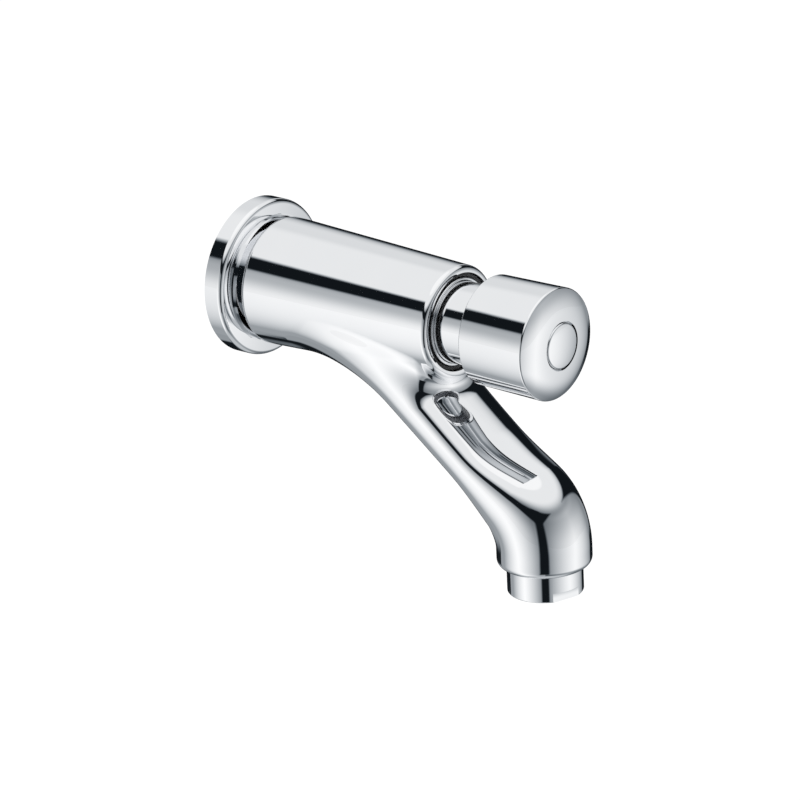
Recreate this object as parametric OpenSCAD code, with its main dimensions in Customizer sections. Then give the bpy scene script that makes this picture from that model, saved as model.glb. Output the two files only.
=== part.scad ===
// Wall basin tap with a self-closing push button.
// Every round piece inside lies on one level axis, which runs forward from the wall.
// The distance forward from the wall face is called the station. The wall face is station 0.
// The frame: X to the right, Y into the wall, Z up. The origin is where the axis meets the wall face.

/* [Wall fitting] */
// Radius of the round cover plate on the wall
flange_r = 30; // [27:0.5:36]
// Depth of the cover plate from the wall to its polished face
flange_depth = 8; // [6:0.5:10]
// Wall thickness of the cover plate
flange_wall = 2; // [1.5:0.1:3]
// Rounding of the cover plate's front edge
flange_edge_r = 2; // [0.6:0.1:2.4]
// Slope of the cover plate's face, which falls outwards
flange_slope = 7; // [0:0.5:9]
// Width of the foam seal ring behind the cover plate
gasket_width = 7; // [4:0.5:9]
// Outside radius of the half inch pipe thread
thread_r = 10.48; // [10:0.01:10.6]
// Length of pipe thread behind the wall face
inlet_length = 13; // [11:0.5:20]
// Width across the flats of the nipple's hexagon
nipple_hex = 22; // [21.5:0.1:23]
// Radius of the waterway through the nipple
nipple_bore_r = 6.5; // [5:0.1:7]
// Length of thread screwed into the body
nipple_engagement = 12; // [9:0.5:13]
// Distance from the cover plate's front edge to the body
collar_length = 4; // [3.5:0.5:6]
// Outside radius of the collar between them
collar_r = 24; // [22:0.1:24.4]
// Width of the dark groove between that collar and the body
collar_groove = 1.8; // [1:0.1:2.2]
// Gap round the strainer basket in the inlet
strainer_gap = 0.9; // [0.5:0.1:2]
// Length of the strainer basket
strainer_length = 10; // [7:0.5:10.5]

/* [Body] */
// Length of the round body
body_length = 86.4; // [82:0.2:92]
// Radius of the body at its rear end
body_rear_r = 24.45; // [23.5:0.1:26]
// Radius of the body at its front end
body_front_r = 21.15; // [21:0.05:23]
// Rounding of the body's rear edge
body_rear_edge_r = 2.5; // [0.8:0.1:4]
// Rounding of the body's front edge
body_edge_r = 2.2; // [1:0.1:2.5]

/* [Spout] */
// Distance from the wall face to the middle of the outlet
spout_reach = 133.8; // [128:0.2:142]
// Slope of the spout below level
spout_slope = 38.2; // [35:0.2:42]
// Depth below the axis at which the spout's line meets the outlet's line
corner_drop = 70.2; // [67:0.2:72]
// Radius of the bend above the outlet
bend_r = 22.4; // [20:0.1:26]
// Depth of the outlet's lower edge below the axis
spout_drop = 87.9; // [86:0.1:92]
// Half width of the sloping part of the spout
limb_half_width = 18.5; // [17:0.1:19]
// Half width of the spout's root under the body
root_half_width = 19; // [18:0.1:20.5]
// Height of the sloping part above its line
limb_top = 10.8; // [10:0.1:12.5]
// Height of the root above the spout's line
root_top = 12.6; // [11:0.1:14]
// Depth of the sloping part below its line
limb_bottom = 11.9; // [11:0.1:13.5]
// How flat the sloping part's top is, where 2 is an ellipse
limb_flatness = 2.55; // [2:0.05:3]
// Radius of the outlet's outside
outlet_r = 17.8; // [17.4:0.1:18.6]
// Rounding of the outlet's lower edge
lip_edge_r = 3; // [1.5:0.1:3.5]
// Width of the flowing blend under the body
root_blend = 13.7; // [8:0.1:15]
// Width of the tighter blend under the front ring
face_blend = 9.6; // [6:0.1:12]

/* [Waterway] */
// Radius of the inlet chamber inside the body
inlet_chamber_r = 9.5; // [9:0.1:10]
// Radius of the drilled passage down the spout
passage_r = 6; // [4:0.25:7]
// Radius of the wide bore above the aerator
outlet_bore_r = 10; // [7:0.25:10.5]

/* [Cartridge] */
// Outside radius of the cartridge barrel
barrel_r = 13.9; // [13.6:0.05:14.4]
// Length of the barrel behind its flange
barrel_length = 32; // [31:0.5:36]
// Thickness of the barrel's flange
barrel_flange = 4; // [3:0.25:5]
// Radius of the timing cylinder inside the barrel
cylinder_r = 10.5; // [10.2:0.05:10.8]
// Thickness of the barrel's rear wall
barrel_end = 4; // [3.5:0.25:5]
// Radius of each outlet port in the barrel
port_r = 2.5; // [1.5:0.1:2.8]
// Number of outlet ports
port_count = 6; // [4:1:8]
// Radius of the opening in the valve seat
seat_bore_r = 5; // [4.5:0.1:5.4]
// Thickness of a rubber ring's cord
oring_cord = 1.9; // [1.6:0.1:2.1]
// Outside radius of the ring nut that holds the cartridge
ring_nut_r = 18.5; // [18:0.1:18.9]
// Length of the ring nut
ring_nut_length = 10.2; // [8:0.2:12]
// Radius of the ring nut's polished nose
ring_nut_nose_r = 16.6; // [16.4:0.1:17]
// How far the ring nut sits behind the body's front edge
recess_depth = 0.2; // [0:0.1:1.5]
// Outside radius of the neck between body and button
neck_r = 15.4; // [14.8:0.1:15.5]
// Wall thickness of the neck
neck_wall = 1.9; // [1.4:0.1:2.2]
// Thickness of the neck's floor
neck_floor = 3; // [2.5:0.1:4]

/* [Button] */
// Travel of the button
press_travel = 10; // [6:0.5:12]
// Length of bare neck between the body and the button
button_gap = 15.1; // [13:0.1:18]
// Length of the button's skirt, from its rear end to its front edge
button_length = 29.1; // [28:0.1:34]
// Radius of the button at its rear end
button_rear_r = 20.7; // [20:0.1:22]
// Radius of the button at its front edge
button_front_r = 21.2; // [20.5:0.1:22.5]
// Rounding of the button's front edge
button_edge_r = 0.9; // [0.5:0.1:1.5]
// How far the crowned face stands ahead of the front edge
button_crown = 2.9; // [2:0.1:4]
// How late the face starts to fall away towards its edge
button_fullness = 4; // [2:0.5:5]
// Wall thickness of the button's skirt
button_wall = 2; // [1.5:0.1:2.5]
// Thickness of the button's front wall at its edge
button_face = 3.6; // [3:0.1:5]
// Radius of the raised disc in the middle of the face
disc_r = 8.8; // [8:0.05:11]
// Width of the dark gap round the raised disc
disc_gap = 0.5; // [0.1:0.05:0.8]
// Thickness of the raised disc
disc_thickness = 2.4; // [1.8:0.1:3]
// Length of the guide bush in the button's rear end
bush_length = 4.8; // [3.5:0.1:6]
// Radius of the spindle
spindle_r = 3; // [2.7:0.1:3.2]
// Radius of the valve washer
washer_r = 8; // [7:0.1:8.2]
// Thickness of the valve washer
washer_thickness = 3; // [2:0.1:4]
// Length of the piston
piston_length = 5; // [4.5:0.1:6]
// Length of the return spring at rest
spring_length = 28; // [26:0.5:29]
// Middle radius of the return spring's coils
spring_r = 8.8; // [8.2:0.1:9.2]
// Thickness of the spring's wire
spring_wire = 1.5; // [1:0.1:1.7]
// Number of turns in the spring
spring_turns = 8; // [6:1:10]

/* [Aerator] */
// Radius of the aerator's screw thread
aerator_thread_r = 13.95; // [13.7:0.01:14]
// Length of the aerator's screw thread
aerator_thread_length = 7.8; // [6:0.2:9]
// Outside radius of the aerator's visible ring
aerator_r = 14.24; // [14.1:0.02:14.8]
// Height of the aerator's visible ring
aerator_height = 10.35; // [8:0.05:13]
// Width across the two spanner flats
aerator_flats = 26.1; // [25.6:0.1:27.5]
// Height of the spanner flats
flat_height = 3.7; // [2.5:0.1:5]
// Turn of the spanner flats away from straight ahead
flat_turn = 17.6; // [0:0.1:90]
// Wall thickness of the aerator housing
aerator_wall = 1.85; // [1.5:0.05:2.2]
// Width of the gaps in the aerator's screen
screen_gap = 1.6; // [1.2:0.1:2.4]
// Thickness of the bars in the aerator's screen
screen_bar = 0.6; // [0.4:0.1:0.8]

/* [Hidden] */

// Smoothness of the round pieces
$fn = 96;
// Steps in each rounded edge
edge_steps = 6;
// Steps across the button's face
face_steps = 20;
// A cut runs this far past the face that it opens
past = 1;

// Clearances between pieces
glued_clearance = 0.02;
thread_clearance = 0.05;
running_clearance = 0.06;
loose_clearance = 0.1;
slip_clearance = 0.3;
stop_clearance = 0.2;

// Stations of the fixed pieces
body_back = flange_depth + collar_length;
flange_seat_margin = 0.5;
collar_groove_depth = 4;
flange_seat_r = collar_r + flange_seat_margin;
flange_face_r = flange_r - flange_edge_r * (1 - sin(flange_slope));
flange_face = flange_depth - flange_edge_r * (1 - cos(flange_slope));
flange_seat = flange_face + (flange_face_r - flange_seat_r) * tan(flange_slope);
body_front = body_back + body_length;
nipple_hex_back = 0.5;
nipple_front = body_back + nipple_engagement;
nipple_washer_thickness = 2;
inlet_chamber_back = nipple_front + nipple_washer_thickness;
mouth_lip = 1.5;
mouth_r = nipple_bore_r + mouth_lip;
mouth_depth = 1.6;
ring_nut_front = body_front - recess_depth;
ring_nut_back = ring_nut_front - ring_nut_length;
ring_nut_flange = 3.2;
nose_back = ring_nut_back + ring_nut_flange;
seal_setback = 1;
seal_front = ring_nut_front - seal_setback;
cartridge_shoulder = ring_nut_back - barrel_flange;
barrel_back = cartridge_shoulder - barrel_length;
barrel_floor = barrel_back + barrel_end;

// Bores of the body that the pieces fit
cartridge_bore_r = barrel_r + loose_clearance;
recess_r = ring_nut_r + loose_clearance;
thread_bore_r = thread_r + thread_clearance;
groove_depth = 2.5;
groove_r = cartridge_bore_r + groove_depth;
groove_margin = 0.5;
groove_back = barrel_floor + groove_margin;
groove_extra = 5;
groove_length = 2 * port_r + groove_extra;
port_station = groove_back + port_r;

// Valve seat and the valve head behind it
seat_wall = 2;
seat_r = seat_bore_r + seat_wall;
seat_flange_gap = 0.5;
seat_flange_r = inlet_chamber_r - seat_flange_gap;
seat_flange = 2;
seat_lip = 0.5;
seat_lip_width = 1.2;
seat_face = barrel_back - seat_flange - seat_lip;
washer_front = seat_face - stop_clearance;
washer_back = washer_front - washer_thickness;
cup_thickness = 1.5;
cup_rim = 1.2;
cup_wall = 0.6;
cup_back = washer_back - cup_thickness;
nut_thickness = 2.5;
nut_back = cup_back - nut_thickness;
nut_across = 7;
spindle_thread_r = 2;
spindle_tail = 0.8;
spindle_back = nut_back - spindle_tail;

// Rubber rings
oring_r = oring_cord / 2;
oring_groove_r = barrel_r - oring_cord;
groove_play = 0.3;
oring_groove_width = oring_cord + groove_play;
oring_mid_r = cartridge_bore_r - oring_r - running_clearance;
oring_rear_station = barrel_back + barrel_end / 2;
oring_setback = 4.5;
oring_front_station = cartridge_shoulder - oring_setback;

// Neck, its seal and the spindle's bush
neck_bore_r = neck_r - neck_wall;
neck_flange_width = 0.7;
neck_flange_r = neck_r + neck_flange_width;
neck_flange = 1.9;
neck_back = ring_nut_back;
neck_floor_front = neck_back + neck_floor;
neck_gasket_thickness = 1;
neck_gasket_r = neck_r + loose_clearance;
neck_gasket_width = 1.9;
bush_wall = 3;
bush_r = spindle_r + bush_wall;
bush_flange_width = 1.5;
bush_flange_r = bush_r + bush_flange_width;
bush_flange = 1.5;
bush_tail = 3;
bush_back = neck_back - bush_flange;
bush_front = neck_floor_front + bush_tail;
spindle_oring_r = 0.85;
spindle_oring_mid_r = spindle_r + running_clearance + spindle_oring_r;
spindle_groove_r = spindle_oring_mid_r + spindle_oring_r + thread_clearance;
spindle_groove_width = 2 * spindle_oring_r + groove_play;
spindle_oring_station = neck_floor_front;

// Moving pieces, with the button at rest
button_back = body_front + button_gap;
button_rim = button_back + button_length;
button_top = button_rim + button_crown;
button_inner_face = button_rim - button_face;
neck_tip_clearance = 5;
neck_front = button_inner_face - press_travel - neck_tip_clearance;
button_bore_r = button_rear_r - button_wall;
bush_inset = 0.7;
guide_bush_back = button_back + bush_inset;
thrust_back = neck_floor_front + spring_length;
thrust_thickness = 2;
thrust_front = thrust_back + thrust_thickness;
boss_r = bush_r;
boss_back = thrust_front + loose_clearance;
spindle_setback = 6;
spindle_front = button_inner_face - spindle_setback;
screw_r = 1.95;
screw_head_r = 3.8;
screw_head = 2.4;
screw_seat_wall = 0.8;
screw_seat = button_inner_face + screw_seat_wall;
screw_engagement = 9;
screw_back = spindle_front - screw_engagement;
screw_slot_width = 1;
screw_slot_depth = 1;
disc_pocket = button_top - disc_thickness;
disc_stand = 1;
disc_dome = 0.8;
disc_front = button_top + disc_stand;
piston_setback = 5;
piston_front = cartridge_shoulder - piston_setback;
piston_back = piston_front - piston_length;
piston_r = cylinder_r - slip_clearance;
lip_depth = 2.3;
lip_width = 2;
lip_station = piston_back + piston_length / 2;
pin_r = 1;
pin_wall = 1;
pin_offset = piston_r - lip_depth - pin_r - pin_wall;
pin_proud = 1;

// Outlet and aerator heights, above the axis
lip_z = -spout_drop;
aerator_bore_r = aerator_thread_r + thread_clearance;
aerator_washer_thickness = 1.6;
aerator_top = lip_z + aerator_thread_length - loose_clearance;
aerator_bore_top = aerator_top + aerator_washer_thickness;
aerator_collar_top = lip_z - loose_clearance;
aerator_bottom = lip_z - aerator_height;
aerator_bore = aerator_thread_r - aerator_wall;
aerator_ledge_width = 1;
aerator_ledge_r = aerator_bore - aerator_ledge_width;
aerator_ledge = 1.4;
screen_thickness = 0.6;
screen_bottom = aerator_bottom + aerator_ledge;
insert_bottom = screen_bottom + screen_thickness;
regulator_thickness = 2.4;
insert_top = aerator_top - regulator_thickness;
insert_r = aerator_bore - loose_clearance;
slot_count = 16;

// The spout's line: a straight slope, a bend and a drop
slope_dir = [cos(spout_slope), -sin(spout_slope)];
slope_up = [sin(spout_slope), cos(spout_slope)];
bend_angle = 90 - spout_slope;
bend_start = [spout_reach, -corner_drop] - slope_dir * bend_r * tan(bend_angle / 2);
bend_centre = bend_start - slope_up * bend_r;
bend_length = bend_r * bend_angle * PI / 180;
// Place along the spout's line that lies level with the body's front end
face_place = (body_front - bend_start[0]) / cos(spout_slope);
// Where the spout's section starts and stops growing to the round outlet
widen_from = -23.5;
widen_to = 11.8;
// Where the root's section starts to become the sloping part's
taper_from = -82;
// Length of body over which the blend grows tighter towards the front ring
face_blend_length = 9;
// Heights at which the blend starts and is full, and its least width
blend_top = 3.2;
blend_full = -12.2;
least_blend = 0.05;
// How deep the spout's core lies in the body, its front rounding and how fast it sinks with height
core_inset = 0.35;
core_edge_r = 4;
core_rise = 0.25;

// Rings along the spout and points around each of them
root_rings = 10;
fork_rings = 18;
limb_rings = 8;
bend_rings = 9;
lip_rings = 6;
limb_sides = 44;
// The first ring lies where the spout's line meets the body's axis
limb_first = bend_start[1] / sin(spout_slope);
// The rings lie closer together between these two places, on either side of the fork
fork_first = face_place - 25;
limb_plain = face_place + 7;
// Halvings in the search for the skin, and how far it looks
search_steps = 16;
search_reach = 60;
// Guards against dividing by nothing at the middle of the section
least_share = 1e-9;
least_slope = 0.02;

// Rings in one turn of the spring and sides of its wire
wire_rings = 16;
wire_sides = 6;

// Colours
chrome = [0.82, 0.84, 0.86];
brass = [0.80, 0.66, 0.36];
steel = [0.66, 0.67, 0.69];
rubber = [0.12, 0.12, 0.13];
fibre = [0.55, 0.30, 0.22];
plastic_white = [0.92, 0.92, 0.90];
plastic_grey = [0.45, 0.47, 0.50];
foam = [0.20, 0.20, 0.21];

// Turns a shape that is drawn upright so that its height becomes the station
module along_axis() {
    rotate([90, 0, 0]) children();
}

// Moves a shape to a height at the outlet
module at_outlet(z) {
    translate([0, -spout_reach, z]) children();
}

// A plain disc between two stations
module disc(r, from, to) {
    along_axis() translate([0, 0, from]) cylinder(r = r, h = to - from);
}

// A tube between two stations
module tube(r_out, r_in, from, to) {
    difference() {
        disc(r_out, from, to);
        disc(r_in, from - past, to + past);
    }
}

// A rubber ring round the axis
module oring(mid_r, cord_r, station) {
    along_axis() translate([0, 0, station])
        rotate_extrude() translate([mid_r, 0]) circle(r = cord_r, $fn = 32);
}

// A plate in the outlet between two heights
module outlet_disc(r, bottom, top) {
    at_outlet(bottom) cylinder(r = r, h = top - bottom);
}

// Points of an arc, from one angle to another
function arc(centre, r, from, to, steps) = [
    for (i = [0:steps]) let (a = from + (to - from) * i / steps) centre + r * [cos(a), sin(a)]
];

// Outline of a domed front: a rounded edge that runs smoothly into a dome
function domed_front(r, rim, edge_r, rise) =
    let (
        flat_r = r - edge_r,
        dome_r = (flat_r * flat_r + rise * rise) / 2 / rise + edge_r,
        dome_angle = asin(flat_r / (dome_r - edge_r))
    )
    concat(
        arc([flat_r, rim - edge_r], edge_r, 0, 90 - dome_angle, edge_steps),
        arc([0, rim + rise - dome_r], dome_r, 90 - dome_angle, 90, 2 * edge_steps)
    );

// Outline of a full front: a rounded edge and a face that falls away ever faster outwards
function crowned_front(r, rim, edge_r, rise, fullness) =
    let (
        tilt = atan(rise * fullness / r),
        face_r = r - edge_r * (1 - sin(tilt)),
        fall = rise + edge_r * (1 - cos(tilt))
    )
    concat(
        arc([r - edge_r, rim - edge_r], edge_r, 0, 90 - tilt, edge_steps),
        [for (i = [1:face_steps]) let (share = 1 - i / face_steps)
            [face_r * share, rim + rise - fall * pow(share, fullness)]]
    );

// Smooth step from 0 to 1 between two values
function ease(lo, hi, v) = let (u = max(0, min(1, (v - lo) / (hi - lo)))) u * u * (3 - 2 * u);

// The lesser of two distances, with a rounded valley between them
function valley(a, b, width) = let (h = max(width - abs(a - b), 0) / width) min(a, b) - h * h * width / 4;

// The greater of two distances, with a rounded edge
function edge(a, b, r) = norm([max(a + r, 0), max(b + r, 0)]) + min(max(a + r, b + r), 0) - r;

// Radius of the tapered body at a station
function body_r(s) = body_rear_r + (body_front_r - body_rear_r) * (s - body_back) / body_length;

// Distance of a point from the body's skin, below zero inside
function body_gap(x, s, z) = edge(norm([x, z]) - body_r(s), s - body_front, core_edge_r);

// Place along the spout's line and height above it, for a station and a height
function along_spout(s, z) =
    let (p = [s, z] - bend_start, t = p * slope_dir)
    t < 0 ? [t, p * slope_up] :
    let (q = [s, z] - bend_centre, turned = atan2(q * slope_dir, q * slope_up))
    turned < bend_angle && turned > -90 ? [bend_r * turned * PI / 180, norm(q) - bend_r] :
    [bend_length + bend_centre[1] - z, s - spout_reach];

// A half size of the spout's section at a place: the root's, the sloping part's, then the round outlet's
function limb_size(t, root, limb) =
    let (size = limb + (root - limb) * (1 - ease(taper_from, widen_from, t)))
    size + (outlet_r - size) * ease(widen_from, widen_to, t);

// Distance of a point from an oval with two half sizes, where a flatness of 2 makes an ellipse
function oval_gap(x, n, a, b, flatness) =
    let (
        u = abs(x) / a,
        v = abs(n) / b,
        f = (u ^ flatness + v ^ flatness) ^ (1 / flatness) + least_share,
        slope = norm([(u / f) ^ (flatness - 1) / a, (v / f) ^ (flatness - 1) / b])
    )
    (f - 1) / max(slope, least_slope);

// Distance of a point from the spout's skin, below zero inside
function limb_gap(x, s, z) =
    let (
        q = along_spout(s, z),
        upper = q[1] > 0,
        a = limb_size(q[0], root_half_width, limb_half_width),
        b = upper ? limb_size(q[0], root_top, limb_top) : limb_size(q[0], limb_bottom, limb_bottom),
        flatness = upper ? limb_flatness + (2 - limb_flatness) * ease(widen_from, widen_to, q[0]) : 2
    )
    edge(oval_gap(x, q[1], a, b, flatness), lip_z - z, lip_edge_r);

// Width of the blend between body and spout at a station
function blend_width(s) =
    root_blend + (face_blend - root_blend) * ease(body_front - face_blend_length, body_front, s);

// Distance of a point from the casting's flowing skin, with the body's part drawn in
function skin_gap(x, s, z) =
    valley(
        body_gap(x, s, z) + core_inset + core_rise * max(z - blend_top, 0),
        limb_gap(x, s, z),
        blend_width(s) * ease(blend_top, blend_full, z) + least_blend
    );

// How far the skin lies from a point on the spout's line, in one direction
function skin_reach(c, d, lo, hi, steps) =
    let (mid = (lo + hi) / 2)
    steps == 0 ? mid :
    skin_gap(c[0] + d[0] * mid, c[1] + d[1] * mid, c[2] + d[2] * mid) > 0 ?
        skin_reach(c, d, lo, mid, steps - 1) : skin_reach(c, d, mid, hi, steps - 1);

// Centre of a ring round the spout's line and the direction that is up in it, in station and height
function ring_frame(t) =
    t < 0 ? [bend_start + slope_dir * t, slope_up] :
    t < bend_length ?
        let (
            a = t / bend_r * 180 / PI,
            up = slope_up * cos(a) + slope_dir * sin(a)
        )
        [bend_centre + up * bend_r, up] :
    [[spout_reach, bend_centre[1] - (t - bend_length)], [1, 0]];

// The points of one ring
function skin_ring(t) =
    let (f = ring_frame(t))
    [
        for (i = [0:limb_sides - 1])
            let (
                a = 360 * (i + 0.5) / limb_sides,
                d = [cos(a), f[1][0] * sin(a), f[1][1] * sin(a)],
                c = [0, f[0][0], f[0][1]],
                r = skin_reach(c, d, 0, search_reach, search_steps)
            )
            [c[0] + d[0] * r, -(c[1] + d[1] * r), c[2] + d[2] * r]
    ];

// Places of the rings along the spout's line
lip_length = bend_centre[1] - lip_z;
skin_places = concat(
    [for (i = [0:root_rings - 1]) limb_first + (fork_first - limb_first) * i / root_rings],
    [for (i = [0:fork_rings - 1]) fork_first + (limb_plain - fork_first) * i / fork_rings],
    [for (i = [0:limb_rings - 1]) limb_plain - limb_plain * i / limb_rings],
    [for (i = [0:bend_rings]) bend_length * i / bend_rings],
    [for (i = [1:lip_rings]) bend_length + lip_length * sin(90 * i / lip_rings)]
);

// A closed skin over rings of points, each ring with the same number of points
module skin(rings) {
    count = len(rings);
    sides = len(rings[0]);
    points = [for (ring = rings) for (p = ring) p];
    faces = concat(
        [[for (i = [0:sides - 1]) i]],
        [
            for (j = [0:count - 2]) for (i = [0:sides - 1]) for (half = [0, 1])
                let (a = j * sides + i, b = j * sides + (i + 1) % sides)
                half == 0 ? [a, a + sides, b] : [b, a + sides, b + sides]
        ],
        [[for (i = [sides - 1:-1:0]) (count - 1) * sides + i]]
    );
    polyhedron(points = points, faces = faces, convexity = 6);
}

// The drilled passage down the spout and the wide bore over the aerator
module spout_waterway() {
    start = [body_front, -corner_drop + (spout_reach - body_front) * tan(spout_slope)];
    top = start - slope_dir * (body_front - groove_back - groove_length / 2) / cos(spout_slope);
    length = (spout_reach - top[0]) / cos(spout_slope);
    translate([0, -top[0], top[1]]) rotate([90 + spout_slope, 0, 0]) cylinder(r = passage_r, h = length);
    at_outlet(-corner_drop) sphere(r = outlet_bore_r);
    outlet_disc(outlet_bore_r, aerator_bore_top - past, -corner_drop);
    outlet_disc(aerator_bore_r, lip_z - past, aerator_bore_top);
}

// The round body's outline as half a section
module body_outline() {
    rear_centre = [body_rear_r - body_rear_edge_r, body_back + body_rear_edge_r];
    polygon(concat(
        [[0, body_back]],
        arc(rear_centre, body_rear_edge_r, -90, 0, edge_steps),
        arc([body_front_r - body_edge_r, body_front - body_edge_r], body_edge_r, 0, 90, edge_steps),
        [[0, body_front]]
    ));
}

// The cast and plated body with its spout
module valve_body() {
    color(chrome) difference() {
        union() {
            along_axis() rotate_extrude() body_outline();
            skin([for (t = skin_places) skin_ring(t)]);
        }
        disc(thread_bore_r, body_back - past, inlet_chamber_back);
        disc(inlet_chamber_r, inlet_chamber_back - past, barrel_back + past);
        disc(cartridge_bore_r, barrel_back, cartridge_shoulder + past);
        disc(groove_r, groove_back, groove_back + groove_length);
        disc(recess_r, cartridge_shoulder, body_front + past);
        spout_waterway();
    }
}

// The round cover plate against the wall, hollow behind
module wall_flange() {
    hole_r = nipple_hex / 2 / cos(30) + slip_clearance;
    hollow_r = flange_r - flange_wall;
    hollow_depth = flange_depth - flange_wall;
    color(chrome) along_axis() rotate_extrude() polygon(concat(
        [[hole_r, hollow_depth], [hollow_r, hollow_depth], [hollow_r, 0], [flange_r, 0]],
        arc(
            [flange_r - flange_edge_r, flange_depth - flange_edge_r], flange_edge_r,
            0, 90 - flange_slope, edge_steps
        ),
        [[flange_seat_r, flange_seat], [hole_r, flange_seat]]
    ));
}

// The foam ring in the cover plate's hollow
module flange_gasket() {
    outer = flange_r - flange_wall - slip_clearance;
    color(foam) tube(outer, outer - gasket_width, 0, flange_depth - flange_wall);
}

// The double ended nipple that the tap hangs on
module inlet_nipple() {
    hex_front = flange_depth - loose_clearance;
    color(brass) difference() {
        union() {
            disc(thread_r, -inlet_length, nipple_front);
            along_axis() translate([0, 0, nipple_hex_back])
                cylinder(r = nipple_hex / 2 / cos(30), h = hex_front - nipple_hex_back, $fn = 6);
        }
        disc(nipple_bore_r, -inlet_length - past, nipple_front + past);
        disc(mouth_r, -inlet_length - past, -inlet_length + mouth_depth);
    }
}

// The strainer basket in the nipple's mouth
module inlet_strainer() {
    rim = mouth_depth - loose_clearance;
    rim_r = mouth_r - loose_clearance;
    strainer_r = nipple_bore_r - strainer_gap;
    wall = 0.8;
    slots = 8;
    slot_width = 1.2;
    back = -inlet_length;
    front = back + strainer_length;
    margin = 2;
    color(steel) difference() {
        union() {
            disc(rim_r, back, back + rim);
            disc(strainer_r, back, front);
        }
        disc(strainer_r - wall, back - past, front - wall);
        for (i = [0:slots - 1])
            rotate([0, 360 * i / slots, 0])
                translate([0, -front + margin, -slot_width / 2])
                    cube([strainer_r + past, strainer_length - rim - 2 * margin, slot_width]);
    }
}

// The fibre washer between the nipple's end and the body
module nipple_washer() {
    color(fibre) tube(thread_r - loose_clearance, nipple_bore_r, nipple_front, inlet_chamber_back);
}

// The collar that holds the cover plate against the wall
module spacer_collar() {
    inner = thread_r + loose_clearance;
    color(chrome) union() {
        tube(collar_r, inner, flange_seat, body_back - collar_groove);
        tube(collar_r - collar_groove_depth, inner, flange_seat, body_back);
    }
}

// The brass barrel of the cartridge, with its outlet ports
module cartridge_barrel() {
    color(brass) difference() {
        union() {
            disc(barrel_r, barrel_back, cartridge_shoulder + past);
            disc(ring_nut_r - loose_clearance, cartridge_shoulder, ring_nut_back);
        }
        disc(cylinder_r, barrel_floor, ring_nut_back + past);
        disc(seat_r + thread_clearance, barrel_back - past, barrel_floor + past);
        for (back = [oring_rear_station, oring_front_station] - [1, 1] * oring_groove_width / 2)
            tube(barrel_r + past, oring_groove_r, back, back + oring_groove_width);
        tube(
            neck_gasket_r, neck_gasket_r - neck_gasket_width,
            ring_nut_back - neck_gasket_thickness, ring_nut_back + past
        );
        for (i = [0:port_count - 1])
            translate([0, -port_station, 0]) rotate([0, 360 * i / port_count, 0])
                cylinder(r = port_r, h = barrel_r + past);
    }
}

module barrel_oring_rear() {
    color(rubber) oring(oring_mid_r, oring_r, oring_rear_station);
}

module barrel_oring_front() {
    color(rubber) oring(oring_mid_r, oring_r, oring_front_station);
}

// The seat insert that the valve washer closes against
module valve_seat() {
    color(steel) difference() {
        union() {
            disc(seat_r, barrel_back - seat_flange, barrel_floor);
            disc(seat_flange_r, barrel_back - seat_flange, barrel_back);
            disc(seat_bore_r + seat_lip_width, seat_face, barrel_back);
        }
        disc(seat_bore_r, seat_face - past, barrel_floor + past);
    }
}

// The plated neck that the button slides over
module neck_sleeve() {
    tip_edge_r = 0.6;
    color(chrome) difference() {
        union() {
            disc(neck_flange_r, neck_back, neck_back + neck_flange);
            along_axis() rotate_extrude() polygon(concat(
                [[0, neck_back], [neck_r, neck_back]],
                arc([neck_r - tip_edge_r, neck_front - tip_edge_r], tip_edge_r, 0, 90, edge_steps),
                [[0, neck_front]]
            ));
        }
        disc(neck_bore_r, neck_floor_front, neck_front + past);
        disc(bush_r + thread_clearance, neck_back - past, neck_floor_front + past);
    }
}

// The flat seal under the neck
module neck_gasket() {
    color(rubber) tube(
        neck_gasket_r - thread_clearance, neck_gasket_r - neck_gasket_width + thread_clearance,
        ring_nut_back - neck_gasket_thickness, ring_nut_back
    );
}

// The bush that guides the spindle through the neck's floor
module spindle_bush() {
    half = spindle_groove_width / 2;
    color(brass) difference() {
        union() {
            disc(bush_r, bush_back, bush_front);
            disc(bush_flange_r, bush_back, neck_back);
        }
        disc(spindle_r + running_clearance, bush_back - past, bush_front + past);
        disc(spindle_groove_r, spindle_oring_station - half, spindle_oring_station + half);
    }
}

module spindle_oring() {
    color(rubber) oring(spindle_oring_mid_r, spindle_oring_r, spindle_oring_station);
}

// The ring nut in the body's front end
module ring_nut() {
    hole_r = neck_r + loose_clearance;
    pocket = neck_back + neck_flange + loose_clearance;
    bead_r = (ring_nut_nose_r - hole_r) / 2;
    color(chrome) along_axis() rotate_extrude() polygon(concat(
        [[neck_flange_r + loose_clearance, ring_nut_back], [ring_nut_r, ring_nut_back]],
        [[ring_nut_r, nose_back], [ring_nut_nose_r, nose_back]],
        arc([hole_r + bead_r, ring_nut_front - bead_r], bead_r, 0, 180, 2 * edge_steps),
        [[hole_r, pocket], [neck_flange_r + loose_clearance, pocket]]
    ));
}

// The black seal ring between the ring nut's nose and the body
module front_seal() {
    seal_edge_r = 0.5;
    outer = ring_nut_r;
    inner = ring_nut_nose_r + loose_clearance;
    color(rubber) along_axis() rotate_extrude() polygon(concat(
        [[inner, nose_back + thread_clearance], [outer, nose_back + thread_clearance]],
        arc([outer - seal_edge_r, seal_front - seal_edge_r], seal_edge_r, 0, 90, edge_steps),
        arc([inner + seal_edge_r, seal_front - seal_edge_r], seal_edge_r, 90, 180, edge_steps)
    ));
}

// Turn and height of the spring's wire along its length, with closed ends
closed_turns = 1;
closed_gap = 0.5;
closed_pitch = spring_wire + closed_gap;
open_turns = spring_turns - 2 * closed_turns;
open_pitch = (spring_length - spring_wire - 2 * closed_turns * closed_pitch) / open_turns;
function wire_height(turn) =
    spring_wire / 2
    + closed_pitch * min(turn, closed_turns)
    + open_pitch * max(0, min(turn, spring_turns - closed_turns) - closed_turns)
    + closed_pitch * max(0, turn - (spring_turns - closed_turns));

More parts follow.
